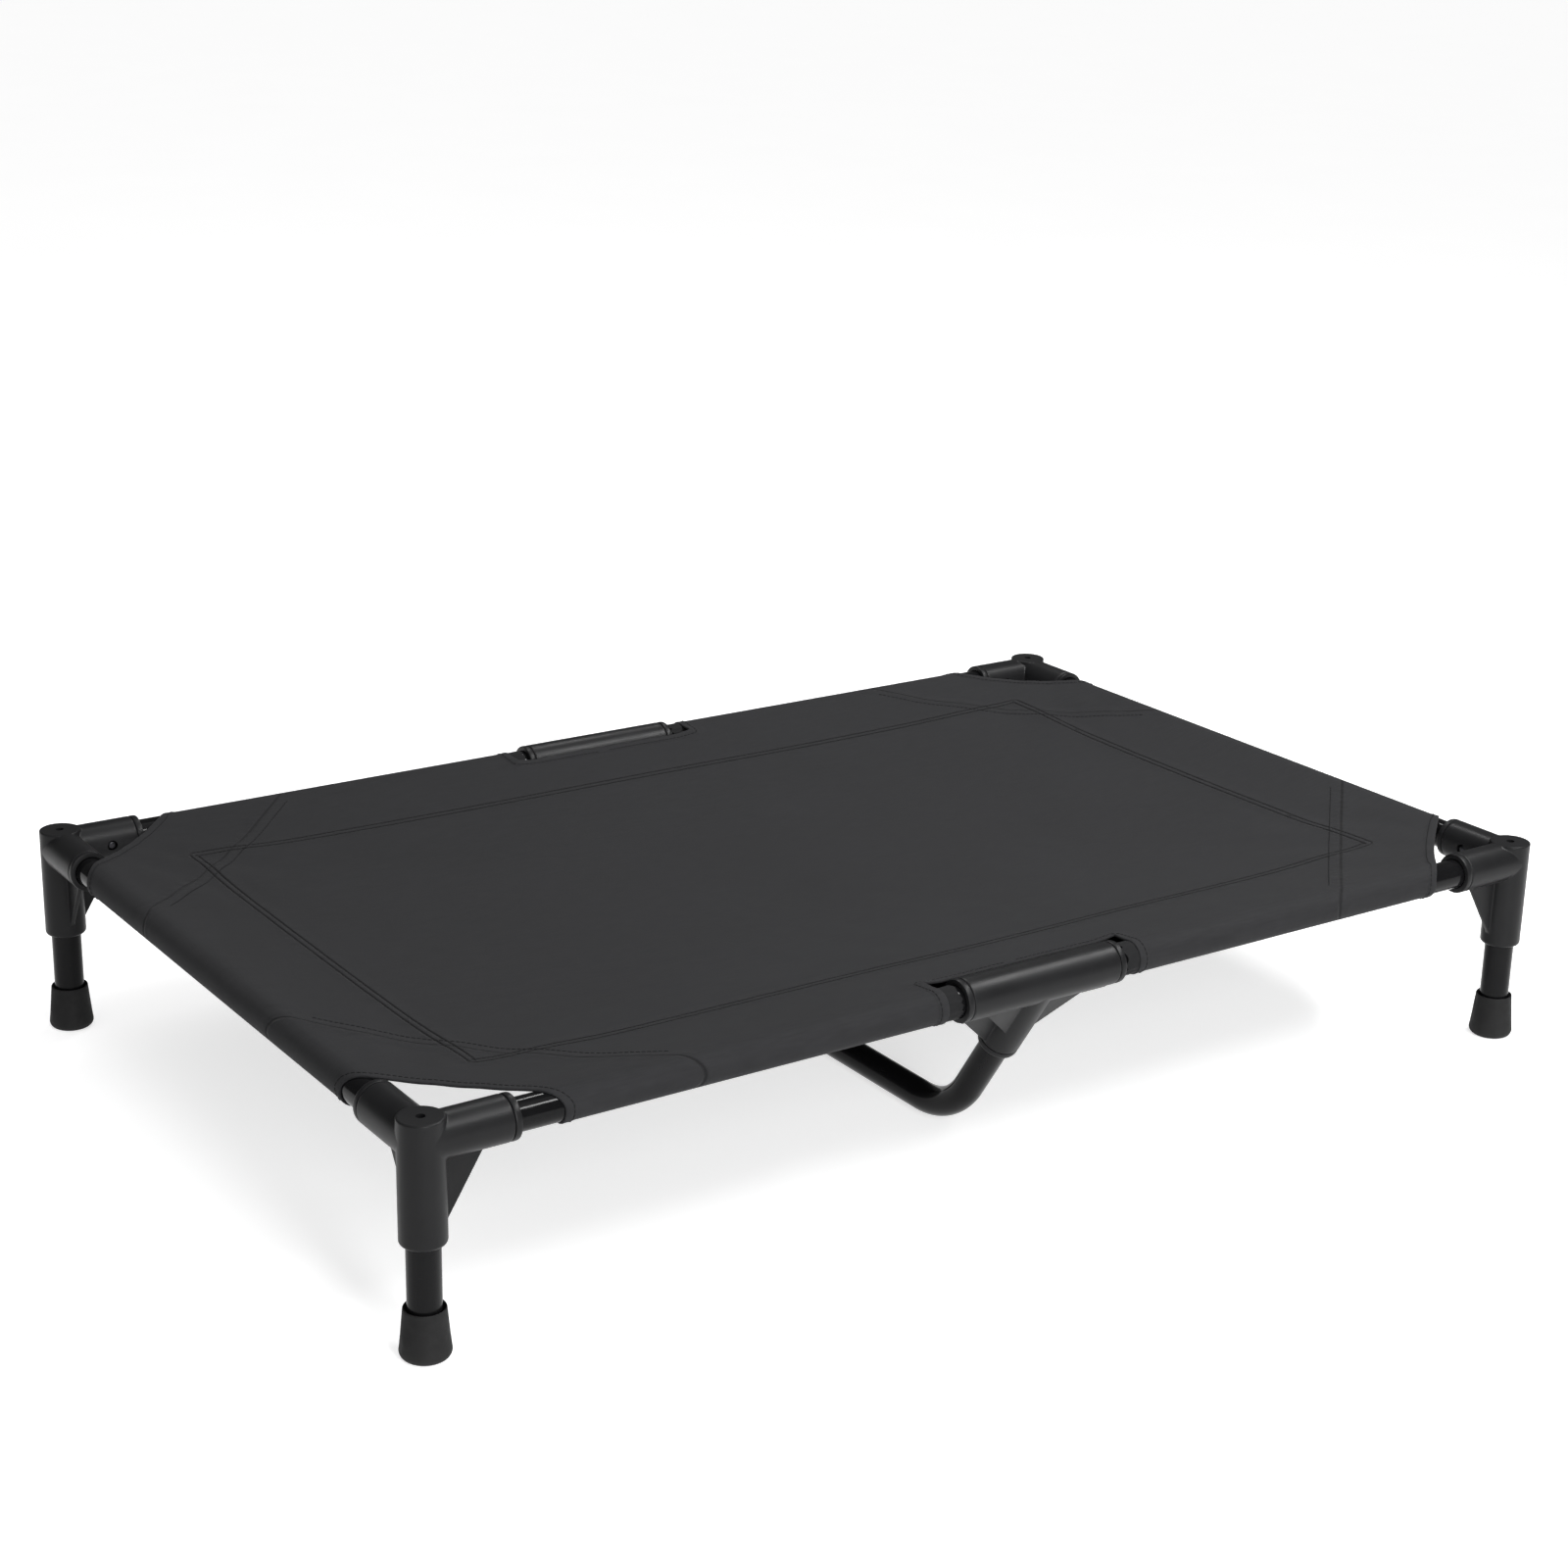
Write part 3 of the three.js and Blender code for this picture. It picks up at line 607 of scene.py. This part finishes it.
def brace_points():
    """Centreline of the brace: two slanted legs, two bends and a level run."""
    start = Vector((0, -HALF_Y, RAIL_Z)) + BRACE_DOWN * 6 * MM
    corner_y = -HALF_Y + (RAIL_Z - BRACE_LEVEL) / math.tan(BRACE_ANGLE)
    centre_y = corner_y + BRACE_BEND * math.tan(BRACE_ANGLE / 2)
    half = [start]
    for step in range(17):
        angle = BRACE_ANGLE * (1 - step / 16)
        half.append(Vector((0, centre_y - BRACE_BEND * math.sin(angle),
                            BRACE_LEVEL + BRACE_BEND * (1 - math.cos(angle)))))
    return half + [Vector((0, -p.y, p.z)) for p in reversed(half)]


def sweep(shell, points, section, side):
    """Carries a closed (across, up) section along points; side is the fixed across direction."""
    count = len(section)
    vertices = []
    for i, point in enumerate(points):
        before, after = points[max(i - 1, 0)], points[min(i + 1, len(points) - 1)]
        run = (after - before).normalized()
        if 0 < i < len(points) - 1:
            run = ((point - before).normalized() + (after - point).normalized()).normalized()
        up = run.cross(side)
        vertices.extend(point + side * a + up * b for a, b in section)
    faces = [[i * count + j, i * count + (j + 1) % count, (i + 1) * count + (j + 1) % count,
              (i + 1) * count + j] for i in range(len(points) - 1) for j in range(count)]
    faces += [list(range(count))[::-1], list(range(len(vertices) - count, len(vertices)))]
    return shell.add(vertices, faces)


def button_mesh():
    head, tip, flange, seat = 3.5 * MM, 16.5 * MM, 4.5 * MM, 8.8 * MM
    brim, dome = 1.2 * MM, 1.6 * MM
    profile = [(0, seat), (flange, seat), (flange, seat + brim), (head, seat + brim), (head, tip - dome)]
    for angle in arc(8, math.pi / 2, first=1):
        profile.append((head * math.cos(angle), tip - dome + dome * math.sin(angle)))
    return finished(mesh_from(revolve(Shell(), profile, segments=SMALL_ROUND), "button"), 50)


def spring_mesh():
    """Bent strip: its front leaf lies under a button, its back leaf against the tube's wall."""
    near, far, bend = 5.5 * MM, 24 * MM, 2.8 * MM
    middle = (SPRING_FRONT + SPRING_BACK) / 2
    lap, turn = Vector((near, 0, SPRING_FRONT)), Vector((far, 0, middle + bend))
    points = [Vector((-near, 0, SPRING_FRONT))]
    points += [lap.lerp(turn, step / 8) for step in range(8)]
    for angle in arc(12, math.pi):
        points.append(Vector((far + bend * math.sin(angle), 0, middle + bend * math.cos(angle))))
    points += [Vector((0, 0, SPRING_BACK)), Vector((-near, 0, SPRING_BACK))]
    half_width, half_thickness, soft = 3.5 * MM, 0.4 * MM, 0.2 * MM
    flat, edge = half_width - soft, half_thickness - soft
    section = [(-half_width, -edge), (-flat, -half_thickness), (flat, -half_thickness), (half_width, -edge),
               (half_width, edge), (flat, half_thickness), (-flat, half_thickness), (-half_width, edge)]
    return finished(mesh_from(sweep(Shell(), points, section, Y), "spring"), 50)


def build_frame():
    corner = corner_mesh()
    foot = foot_mesh()
    for quarter, (name, x, y) in enumerate([("front_left", -1, -1), ("front_right", 1, -1),
                                            ("rear_right", 1, 1), ("rear_left", -1, 1)]):
        spot = Vector((x * HALF_X, y * HALF_Y, 0))
        turned = Matrix.Translation(spot) @ Matrix.Rotation(quarter * math.pi / 2, 4, "Z")
        place("shown_corner_" + name, corner, PLASTIC, "frame", "connector_plastic",
              ["corner_" + name], turned)
        place("shown_foot_" + name, foot, RUBBER, "frame", "foot_rubber", ["rubber_foot_" + name],
              Matrix.Translation(spot))
        leg = tube_mesh(spot + Z * leg_low.z, spot + Z * leg_high.z, [], "leg_" + name)
        place("shown_leg_" + name, leg, SATIN_STEEL, "frame", "satin_steel", ["leg_tube_" + name])
    mid = mid_mesh()
    for name, turn in (("front", 0), ("rear", math.pi)):
        y = -HALF_Y if name == "front" else HALF_Y
        matrix = Matrix.Translation((0, y, 0)) @ Matrix.Rotation(turn, 4, "Z")
        place("shown_mid_" + name, mid, PLASTIC, "frame", "connector_plastic",
              ["mid_connector_" + name], matrix)
    section = [(TUBE_R * c, TUBE_R * s) for c, s in circle(ROUND)]
    brace = finished(mesh_from(sweep(Shell(), brace_points(), section, X), "brace"))
    place("shown_brace", brace, GLOSS_STEEL, "frame", "gloss_steel", ["centre_brace"])


def button_side(name):
    """Which way a button points: towards the middle of the bed."""
    if name.startswith("snap_button_front"):
        return Y
    if name.startswith("snap_button_rear"):
        return -Y
    return X if name.startswith("snap_button_left") else -X


def place_spring(which, spring, site, inward):
    """Sets the whole spring in the tube under its button; it is not carried with the button."""
    low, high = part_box("button_spring_" + which)
    rail = Z.cross(inward)
    deeper = rail * math.copysign(1, ((low + high) / 2 - site).dot(rail))
    mesh = spring.copy()
    mesh.transform(basis(deeper, inward.cross(deeper), inward, site))
    mesh.materials.append(SPRING_STEEL)
    piece = add_object("shown_button_spring_" + which, mesh)
    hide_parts("button_spring_" + which)
    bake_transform(piece)


def build_rails_and_buttons():
    button = button_mesh()
    spring = spring_mesh()
    sites = []
    for name in sorted(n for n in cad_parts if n.startswith("snap_button_")):
        low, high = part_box(name)
        inward = button_side(name)
        middle = (low + high) / 2
        if abs(inward.x) > 0.5:
            site = Vector((-inward.x * HALF_X, middle.y, RAIL_Z))
        else:
            site = Vector((middle.x, -inward.y * HALF_Y, RAIL_Z))
        sites.append((site, inward))
        matrix = Matrix.Translation(site) @ Z.rotation_difference(inward).to_matrix().to_4x4()
        which = name.removeprefix("snap_button_")
        place("shown_" + name, button, BUTTON_STEEL, "button_" + which, "button_steel", [name], matrix)
        place_spring(which, spring, site, inward)
    for name in ("front_rail_left", "front_rail_right", "rear_rail_left", "rear_rail_right",
                 "side_rail_left", "side_rail_right"):
        low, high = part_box(name)
        along = X if high.x - low.x > high.y - low.y else Y
        middle = (low + high) / 2
        half = (high - low).dot(along) / 2
        on_rail = [(s, inward) for s, inward in sites
                   if abs((s - middle).dot(along)) < half and (s - middle).cross(along).length < TUBE_R]
        mesh = tube_mesh(middle - along * half, middle + along * half, on_rail, name)
        place("shown_" + name, mesh, GLOSS_STEEL, "frame", "gloss_steel", [name])


# ---- Cover ----
def sag_share(distance_share, half):
    """Dip along one direction, 0 at the rail and 1 in the middle, leaving the rail tangentially."""
    power = math.log(0.4) / math.log(1 - SEAM_INSET / half)
    return 1 - distance_share ** power


def panel_z(x, y):
    tangent = 3.3 * MM
    inset_x, inset_y = HALF_X - abs(x), HALF_Y - abs(y)
    along_x = sag_share(min(abs(x) / HALF_X, 1), HALF_X) * inset_x / (inset_x + tangent)
    along_y = sag_share(min(abs(y) / HALF_Y, 1), HALF_Y) * inset_y / (inset_y + tangent)
    return RAIL_Z + CLOTH_R - SAG * along_x * along_y


def wrinkle(x, y):
    """Soft ripples: a broad unevenness, folds that fan out from each corner, and tucks at the notches."""
    inset_x, inset_y = HALF_X - abs(x), HALF_Y - abs(y)
    hold = min(inset_x, inset_y, 40 * MM) / (40 * MM)
    broad = noise.noise(Vector((x * 6, y * 6, 0.3))) * 0.9 * MM
    reach = math.hypot(inset_x, inset_y)
    fan = math.atan2(inset_y, inset_x)
    fade = max(0.0, 1 - abs(reach - 150 * MM) / (110 * MM))
    folds = math.sin(fan * 15 + 3 * noise.noise(Vector((x * 9, y * 9, 2.1)))) * 0.9 * MM * fade
    tuck = math.hypot(abs(x) - NOTCH_HALF, inset_y - NOTCH_DEPTH) / (9 * MM)
    return hold * (broad + folds) + 2.6 * MM * math.exp(-tuck * tuck)


def panel_point(x, y):
    return Vector((x, y, panel_z(x, y) + wrinkle(x, y)))


def edge_reach(inset):
    """Half length of the cloth at an inset from a long rail's axis, along that rail."""
    if inset >= CORNER_Y:
        return HALF_X
    share = 1 - inset / CORNER_Y
    return HALF_X - CORNER_X * share - CORNER_HOLLOW * 4 * share * (1 - share)


def squeezed(value, fixed, outer, limit):
    """Keeps a row as it is up to a fixed size and draws the rest, up to its outer size, in to the limit."""
    size = abs(value)
    if size > fixed:
        size = fixed + (size - fixed) * (limit - fixed) / (outer - fixed)
    return math.copysign(size, value)


def stations(stops, step):
    """Stops subdivided to about a step, mirrored about zero."""
    positive = []
    for start, end in zip(stops, stops[1:]):
        count = max(1, round((end - start) / step))
        positive += [start + (end - start) * i / count for i in range(count)]
    positive.append(stops[-1])
    return [-v for v in reversed(positive[1:])] + positive


def wrap_path():
    """Steps from the rail's top, round the outside, to the seam: (kind, angle or inset)."""
    turn = [("turn", math.pi * i / 14) for i in range(15)]
    count = round(SEAM_INSET / (7 * MM))
    return turn + [("flap", SEAM_INSET * i / count) for i in range(1, count + 1)]


class Side:
    """The cloth of one side below its rail's top line: round the rail, then back under the panel."""

    def __init__(self, is_long, sign):
        self.is_long = is_long
        self.sign = sign
        self.half_along, self.half_across = (HALF_X, HALF_Y) if is_long else (HALF_Y, HALF_X)
        self.corner = CORNER_X if is_long else CORNER_Y
        self.outer = HALF_X if is_long else HALF_Y - CORNER_Y

    def spot(self, along, out, z):
        return Vector((along, self.sign * out, z)) if self.is_long else Vector((self.sign * out, along, z))

    def limit(self, kind, amount):
        """Half length: the ends lean in round the rail, then run off at 45 degrees."""
        if kind == "turn":
            return self.half_along - self.corner - CORNER_UNDERCUT * math.sin(min(amount, math.pi / 2))
        return self.half_along - self.corner - CORNER_UNDERCUT - amount

    def point(self, kind, amount, along):
        if kind == "turn":
            out = self.half_across + CLOTH_R * math.sin(amount)
            return self.spot(along, out, RAIL_Z + CLOTH_R * math.cos(amount))
        share = amount / SEAM_INSET
        under_seam = self.spot(along, self.half_across - SEAM_INSET, 0)
        seam_z = panel_point(under_seam.x, under_seam.y).z - 1.3 * CLOTH_THICKNESS
        slack = 2.5 * MM * math.sin(math.pi * share) * (0.6 + 0.4 * math.sin(along * 55))
        bottom = RAIL_Z - CLOTH_R
        return self.spot(along, self.half_across - amount, bottom + (seam_z - bottom) * share - slack)

    def strip(self, values, path):
        """Rows of points that start on the panel's edge, one row for each step of the path."""
        fixed = self.half_along - DIAGONAL_REACH
        return [[self.point(kind, amount, squeezed(v, fixed, self.outer, self.limit(kind, amount)))
                 for v in values] for kind, amount in path]


SIDES = [Side(is_long, sign) for is_long in (True, False) for sign in (-1, 1)]


def add_grid(work, points, keep=lambda j, i: True):
    """A grid of points as faces; keep(row, column) says which cells are cloth."""
    rows = [[work.verts.new(point) for point in row] for row in points]
    for j in range(len(rows) - 1):
        for i in range(len(rows[0]) - 1):
            if keep(j, i):
                work.faces.new((rows[j][i], rows[j][i + 1], rows[j + 1][i + 1], rows[j + 1][i]))


def welded(work, name):
    bmesh.ops.remove_doubles(work, verts=work.verts, dist=0.02 * MM)
    loose = [v for v in work.verts if not v.link_faces]
    bmesh.ops.delete(work, geom=loose, context="VERTS")
    bmesh.ops.recalc_face_normals(work, faces=work.faces)
    mesh = bpy.data.meshes.new(name)
    work.to_mesh(mesh)
    work.free()
    return mesh


def cover_mesh():
    step = 7 * MM
    columns = stations([0, NOTCH_HALF, HALF_X - DIAGONAL_REACH, HALF_X - SEAM_INSET, HALF_X], step)
    rows = stations([0, HALF_Y - DIAGONAL_REACH, HALF_Y - CORNER_Y, HALF_Y - NOTCH_DEPTH, HALF_Y], step)
    fixed = HALF_X - DIAGONAL_REACH
    panel = [[panel_point(squeezed(x, fixed, HALF_X, edge_reach(HALF_Y - abs(y))), y) for x in columns]
             for y in rows]
    path = wrap_path()

    def beside_connector(i):
        return abs(columns[i] + columns[i + 1]) / 2 < NOTCH_HALF

    def clear_of_notch(j, i):
        return not (beside_connector(i) and abs(rows[j] + rows[j + 1]) / 2 > HALF_Y - NOTCH_DEPTH)

    def off_connector(j, i):
        kind, amount = path[j + 1]
        return not (beside_connector(i) and (kind == "turn" or amount < FLAP_NOTCH_DEPTH))

    work = bmesh.new()
    add_grid(work, panel, clear_of_notch)
    for side in SIDES:
        if side.is_long:
            add_grid(work, side.strip(columns, path), off_connector)
        else:
            add_grid(work, side.strip([y for y in rows if abs(y) < side.outer + MM / 2], path))
    return welded(work, "cover_cloth")


def cuff_mesh():
    """Gathered cuff of cloth that runs on along the rail from each notch to just short of the connector."""
    work = bmesh.new()
    start, end = NOTCH_HALF + 3 * MM, SLEEVE_HALF + 3.5 * MM
    for side_x in (-1, 1):
        for side_y in (-1, 1):
            rows = []
            for share in (0, 0.25, 0.5, 0.75, 0.9, 1):
                row = []
                for step in range(97):
                    angle = 2 * math.pi * step / 96
                    gather = math.sin(10 * angle + 2 * math.sin(3 * angle + side_x + side_y))
                    radius = CLOTH_R - 0.3 * MM + share * 0.45 * MM * gather
                    along = start + (end - start) * share + share * share * 1.3 * MM * gather
                    row.append(Vector((side_x * along, side_y * HALF_Y + radius * math.sin(angle),
                                       RAIL_Z + radius * math.cos(angle))))
                rows.append(row)
            add_grid(work, rows)
    return welded(work, "cover_cuffs")


# ---- Hems: folded bands along every free edge, each station as (edge point, point inside the cloth) ----
def corner_hem(side_x, side_y):
    """From under the long rail, round it, along the free edge, and round and under the short rail."""
    long_side = Side(True, side_y)
    short_side = Side(False, side_x)
    path = wrap_path()

    def round_rail(side, sign):
        band = []
        for kind, amount in path:
            limit = side.limit(kind, amount)
            width = HEM_WIDTH * (math.sqrt(2) if kind == "flap" else 1)
            edge = side.point(kind, amount, sign * limit)
            band.append((edge, side.point(kind, amount, sign * (limit - width))))
        return band

    free_edge = []
    for step in range(1, 24):
        inset = CORNER_Y * step / 24
        x, y = side_x * edge_reach(inset), side_y * (HALF_Y - inset)
        inward = HEM_WIDTH * math.sqrt(0.5)
        free_edge.append((panel_point(x, y), panel_point(x - side_x * inward, y - side_y * inward)))
    return round_rail(long_side, side_x)[::-1] + free_edge + round_rail(short_side, side_y)


def notch_hem(side_y):
    """The closed loop round one notch: beside the connector, over the rail, under it and back."""
    side = Side(True, side_y)
    edge = HALF_Y - NOTCH_DEPTH

    def on_panel(x, y):
        return panel_point(x, side_y * y)

    def on_flap(x, inset):
        return side.point("flap", inset, x)

    half = []
    for step in range(13):
        x = NOTCH_HALF * step / 12
        half.append((on_panel(x, edge), on_panel(x, edge - HEM_WIDTH)))
    for step in range(1, 6):
        angle = step / 6 * math.pi / 2
        out, back = HEM_WIDTH * math.sin(angle), HEM_WIDTH * math.cos(angle)
        half.append((on_panel(NOTCH_HALF, edge), on_panel(NOTCH_HALF + out, edge - back)))
    for step in range(5):
        y = edge + NOTCH_DEPTH * step / 5
        half.append((on_panel(NOTCH_HALF, y), on_panel(NOTCH_HALF + HEM_WIDTH, y)))
    below = [(kind, amount) for kind, amount in wrap_path() if kind == "turn" or amount < FLAP_NOTCH_DEPTH]
    for kind, amount in below + [("flap", FLAP_NOTCH_DEPTH)]:
        half.append((side.point(kind, amount, NOTCH_HALF), side.point(kind, amount, NOTCH_HALF + HEM_WIDTH)))
    for step in range(1, 6):
        angle = step / 6 * math.pi / 2
        out, back = HEM_WIDTH * math.cos(angle), HEM_WIDTH * math.sin(angle)
        corner = on_flap(NOTCH_HALF, FLAP_NOTCH_DEPTH)
        half.append((corner, on_flap(NOTCH_HALF + out, FLAP_NOTCH_DEPTH + back)))
    for step in range(13):
        x = NOTCH_HALF * (1 - step / 12)
        half.append((on_flap(x, FLAP_NOTCH_DEPTH), on_flap(x, FLAP_NOTCH_DEPTH + HEM_WIDTH)))
    mirror = Vector((-1, 1, 1))
    return half + [(edge_point * mirror, inside * mirror) for edge_point, inside in half[-2:0:-1]]


def hem_section():
    """Rounded at the edge, flat on the cloth and thinning towards the stitch line: (across, up)."""
    rolled = 1.05 * MM
    middle = -CLOTH_THICKNESS / 2
    section = []
    for step in range(7):
        angle = math.pi / 2 + step / 6 * math.pi
        section.append((0.5 * MM + rolled * math.cos(angle), middle + rolled * math.sin(angle)))
    under = [(HEM_WIDTH * 0.6, middle - 0.8 * MM), (HEM_WIDTH, middle - 0.5 * MM)]
    over = [(HEM_WIDTH, middle + 0.5 * MM), (HEM_WIDTH * 0.6, middle + 0.75 * MM)]
    return section + under + over


def frames_along(band, closed):
    """Edge point, inward direction and outward normal at each station of a hem."""
    result = []
    count = len(band)
    for i, (edge, inside) in enumerate(band):
        before = band[i - 1][1] if i or closed else inside
        after = band[(i + 1) % count][1] if i + 1 < count or closed else inside
        across = (inside - edge).normalized()
        result.append((edge, across, (after - before).cross(across).normalized()))
    top = max(result, key=lambda item: item[0].z)
    facing = 1 if top[2].z > 0 else -1
    return [(edge, across, normal * facing) for edge, across, normal in result]


def add_band(shell, frames, closed):
    section = hem_section()
    count = len(section)
    vertices = [edge + across * a + normal * b for edge, across, normal in frames for a, b in section]
    spans = len(frames) if closed else len(frames) - 1
    faces = []
    for i in range(spans):
        j = (i + 1) % len(frames)
        faces += [[i * count + k, i * count + (k + 1) % count, j * count + (k + 1) % count, j * count + k]
                  for k in range(count)]
    if not closed:
        faces += [list(range(count))[::-1], list(range(len(vertices) - count, len(vertices)))]
    shell.add(vertices, faces)


def stitch_run(shell, points, normals, pitch=4.2 * MM, length=3.1 * MM, radius=0.42 * MM):
    """Thread bars along a path on the cloth, each dipping into it at both ends."""
    lengths = [0.0]
    for before, after in zip(points, points[1:]):
        lengths.append(lengths[-1] + (after - before).length)
    place_in = 0
    for i in range(int(lengths[-1] / pitch)):
        middle = pitch * (i + 0.5)
        while lengths[place_in + 1] < middle:
            place_in += 1
        start, end = points[place_in], points[place_in + 1]
        share = (middle - lengths[place_in]) / (lengths[place_in + 1] - lengths[place_in])
        centre = start.lerp(end, share)
        run = (end - start).normalized()
        up = normals[place_in].lerp(normals[place_in + 1], share).normalized()
        bar = [centre + run * length * along + up * radius * lift
               for along, lift in ((-0.5, -0.3), (-0.32, 0.55), (0.32, 0.55), (0.5, -0.3))]
        section = [(radius * c, radius * 0.8 * s) for c, s in circle(6)]
        sweep(shell, bar, section, run.cross(up))


def panel_stitch(shell, start, end):
    """A straight row of stitches on the panel, from (x, y) to (x, y)."""
    run = Vector(end) - Vector(start)
    count = max(2, int(run.length / (4 * MM)))
    points = [panel_point(*(Vector(start) + run * i / count)) for i in range(count + 1)]
    stitch_run(shell, points, [Z] * len(points))


def seams_and_hems():
    """All thread in one shell and all hem bands in another."""
    thread, bands = Shell(), Shell()
    for offset in (-SEAM_GAP / 2, SEAM_GAP / 2):
        x, y = HALF_X - SEAM_INSET + offset, HALF_Y - SEAM_INSET + offset
        for side in (-1, 1):
            panel_stitch(thread, (-HALF_X + SEAM_INSET, side * y), (HALF_X - SEAM_INSET, side * y))
            panel_stitch(thread, (side * x, -HALF_Y + SEAM_INSET), (side * x, HALF_Y - SEAM_INSET))
    near = 14 * MM
    for side_x in (-1, 1):
        for side_y in (-1, 1):
            panel_stitch(thread, (side_x * (HALF_X - DIAGONAL_REACH), side_y * (HALF_Y - near)),
                         (side_x * (HALF_X - near), side_y * (HALF_Y - DIAGONAL_REACH)))
    loops = [(corner_hem(x, y), False) for x in (-1, 1) for y in (-1, 1)]
    loops += [(notch_hem(y), True) for y in (-1, 1)]
    for band, closed in loops:
        frames = frames_along(band, closed)
        add_band(bands, frames, closed)
        line = [edge + across * HEM_WIDTH * 0.72 + normal * 0.3 * MM for edge, across, normal in frames]
        stitch_run(thread, line, [normal for edge, across, normal in frames])
    return thread, bands


def flat_area():
    """Cloth area laid out flat: the panel with its corners off, and for each side its wrap and flap."""
    area = 4 * HALF_X * HALF_Y - 2 * CORNER_X * CORNER_Y - 4 * NOTCH_HALF * NOTCH_DEPTH
    for side in SIDES:
        bottom = side.limit("turn", math.pi)
        area += math.pi * CLOTH_R * (side.limit("turn", 0) + bottom)
        area += SEAM_INSET * (bottom + side.limit("flap", SEAM_INSET))
        if side.is_long:
            area -= 2 * NOTCH_HALF * (math.pi * CLOTH_R + FLAP_NOTCH_DEPTH)
    return area


def build_cover():
    cloth = applied(cover_mesh(), ("SOLIDIFY", {"thickness": CLOTH_THICKNESS, "offset": -1.0}))
    piece = place("cover", finished(cloth, 50), FABRIC, "frame", "cover_fabric", ["bed_cover"])
    thread, bands = seams_and_hems()
    # The cuffs get the darker copy of the fabric, which is painted shade.
    cuff_cloth = applied(cuff_mesh(), ("SOLIDIFY", {"thickness": 0.5 * MM, "offset": -1.0}))
    trims = [("cover_hems", mesh_from(bands, "hems"), FABRIC), ("cover_cuffs", cuff_cloth, PAINTED_SHADE_FABRIC),
             ("cover_stitches", mesh_from(thread, "stitches"), THREAD)]
    for name, mesh, material in trims:
        place(name, finished(mesh, 60), material, "frame", "cover_fabric", [])
    flat_area()


# ---- Stage ----
def build_stage():
    """A pale floor with a slight glow of its own, so that shadows stay light."""
    mesh = bpy.data.meshes.new("floor")
    outline = [(FLOOR_HALF * x, FLOOR_HALF * y, 0) for x, y in ((-1, -1), (1, -1), (1, 1), (-1, 1))]
    mesh.from_pydata(outline, [], [(0, 1, 2, 3)])
    floor = add_object("floor", mesh)
    material, shader = new_material("pale_floor", (0.6, 0.6, 0.6), 0.7, Specular_IOR_Level=0.1,
                                    Emission_Color=(1, 1, 1, 1), Emission_Strength=FLOOR_GLOW)
    graph = Graph(material)
    speckle = graph.noise(graph.object_place(), 3.0, 3.0)
    graph.feed(shader.inputs["Base Color"], graph.blend(speckle, (0.58, 0.58, 0.58), (0.62, 0.62, 0.62)))
    mesh.materials.append(material)


def area_light(name, location, target, size, power, along=None):
    """A rectangle that faces its target. Its long side follows `along`, or stands upright."""
    light = bpy.data.lights.new(name, "AREA")
    light.shape = "RECTANGLE"
    light.size, light.size_y = size
    light.energy = power
    holder = add_object(name, light)
    back = (Vector(location) - Vector(target)).normalized()
    upright = Z if along is None else Vector(along)
    side = upright.cross(back).normalized()
    holder.matrix_world = basis(side, back.cross(side), back, Vector(location))


def build_light():
    world = bpy.data.worlds.new("studio")
    world.use_nodes = True
    background = world.node_tree.nodes["Background"]
    background.inputs["Color"].default_value = (1, 1, 1, 1)
    background.inputs["Strength"].default_value = WORLD_LIGHT
    bpy.context.scene.world = world
    sun = bpy.data.lights.new("overhead", "SUN")
    sun.energy = 1.2
    sun.angle = math.radians(80)
    holder = add_object("overhead", sun)
    holder.rotation_euler = (math.radians(10), math.radians(-12), 0)
    away = (0.568, 0.823, 0)
    area_light("long_strip", (1.15, -0.95, 2.2), (0.2, -0.1, 0.16), (0.25, 2.6), 82, away)
    area_light("rear_strip", (0.87, 1.2, 2.2), (0.0, 0.0, 0.16), (0.1, 1.2), 13, away)
    area_light("front_tower", (-0.7, -3.3, 1.2), (-0.3, -0.3, 0.16), (0.6, 2.2), 80)


def build_camera():
    azimuth, elevation, roll = (math.radians(degrees) for degrees in CAMERA_TURNS)
    level = Vector((math.sin(azimuth), math.cos(azimuth), 0))
    look = level * math.cos(elevation) - Z * math.sin(elevation)
    right = level.cross(Z)
    up = right.cross(look)
    rolled_right = right * math.cos(roll) + up * math.sin(roll)
    rolled_up = up * math.cos(roll) - right * math.sin(roll)
    camera = bpy.data.cameras.new("camera")
    camera.sensor_width = CAMERA_SENSOR
    camera.lens = CAMERA_LENS
    holder = add_object("camera", camera)
    holder.matrix_world = basis(rolled_right, rolled_up, -look, CAMERA_PLACE)
    bpy.context.scene.camera = holder


build_camera()
build_frame()
build_rails_and_buttons()
build_cover()
build_stage()
build_light()
bpy.context.scene.view_settings.view_transform = "Standard"
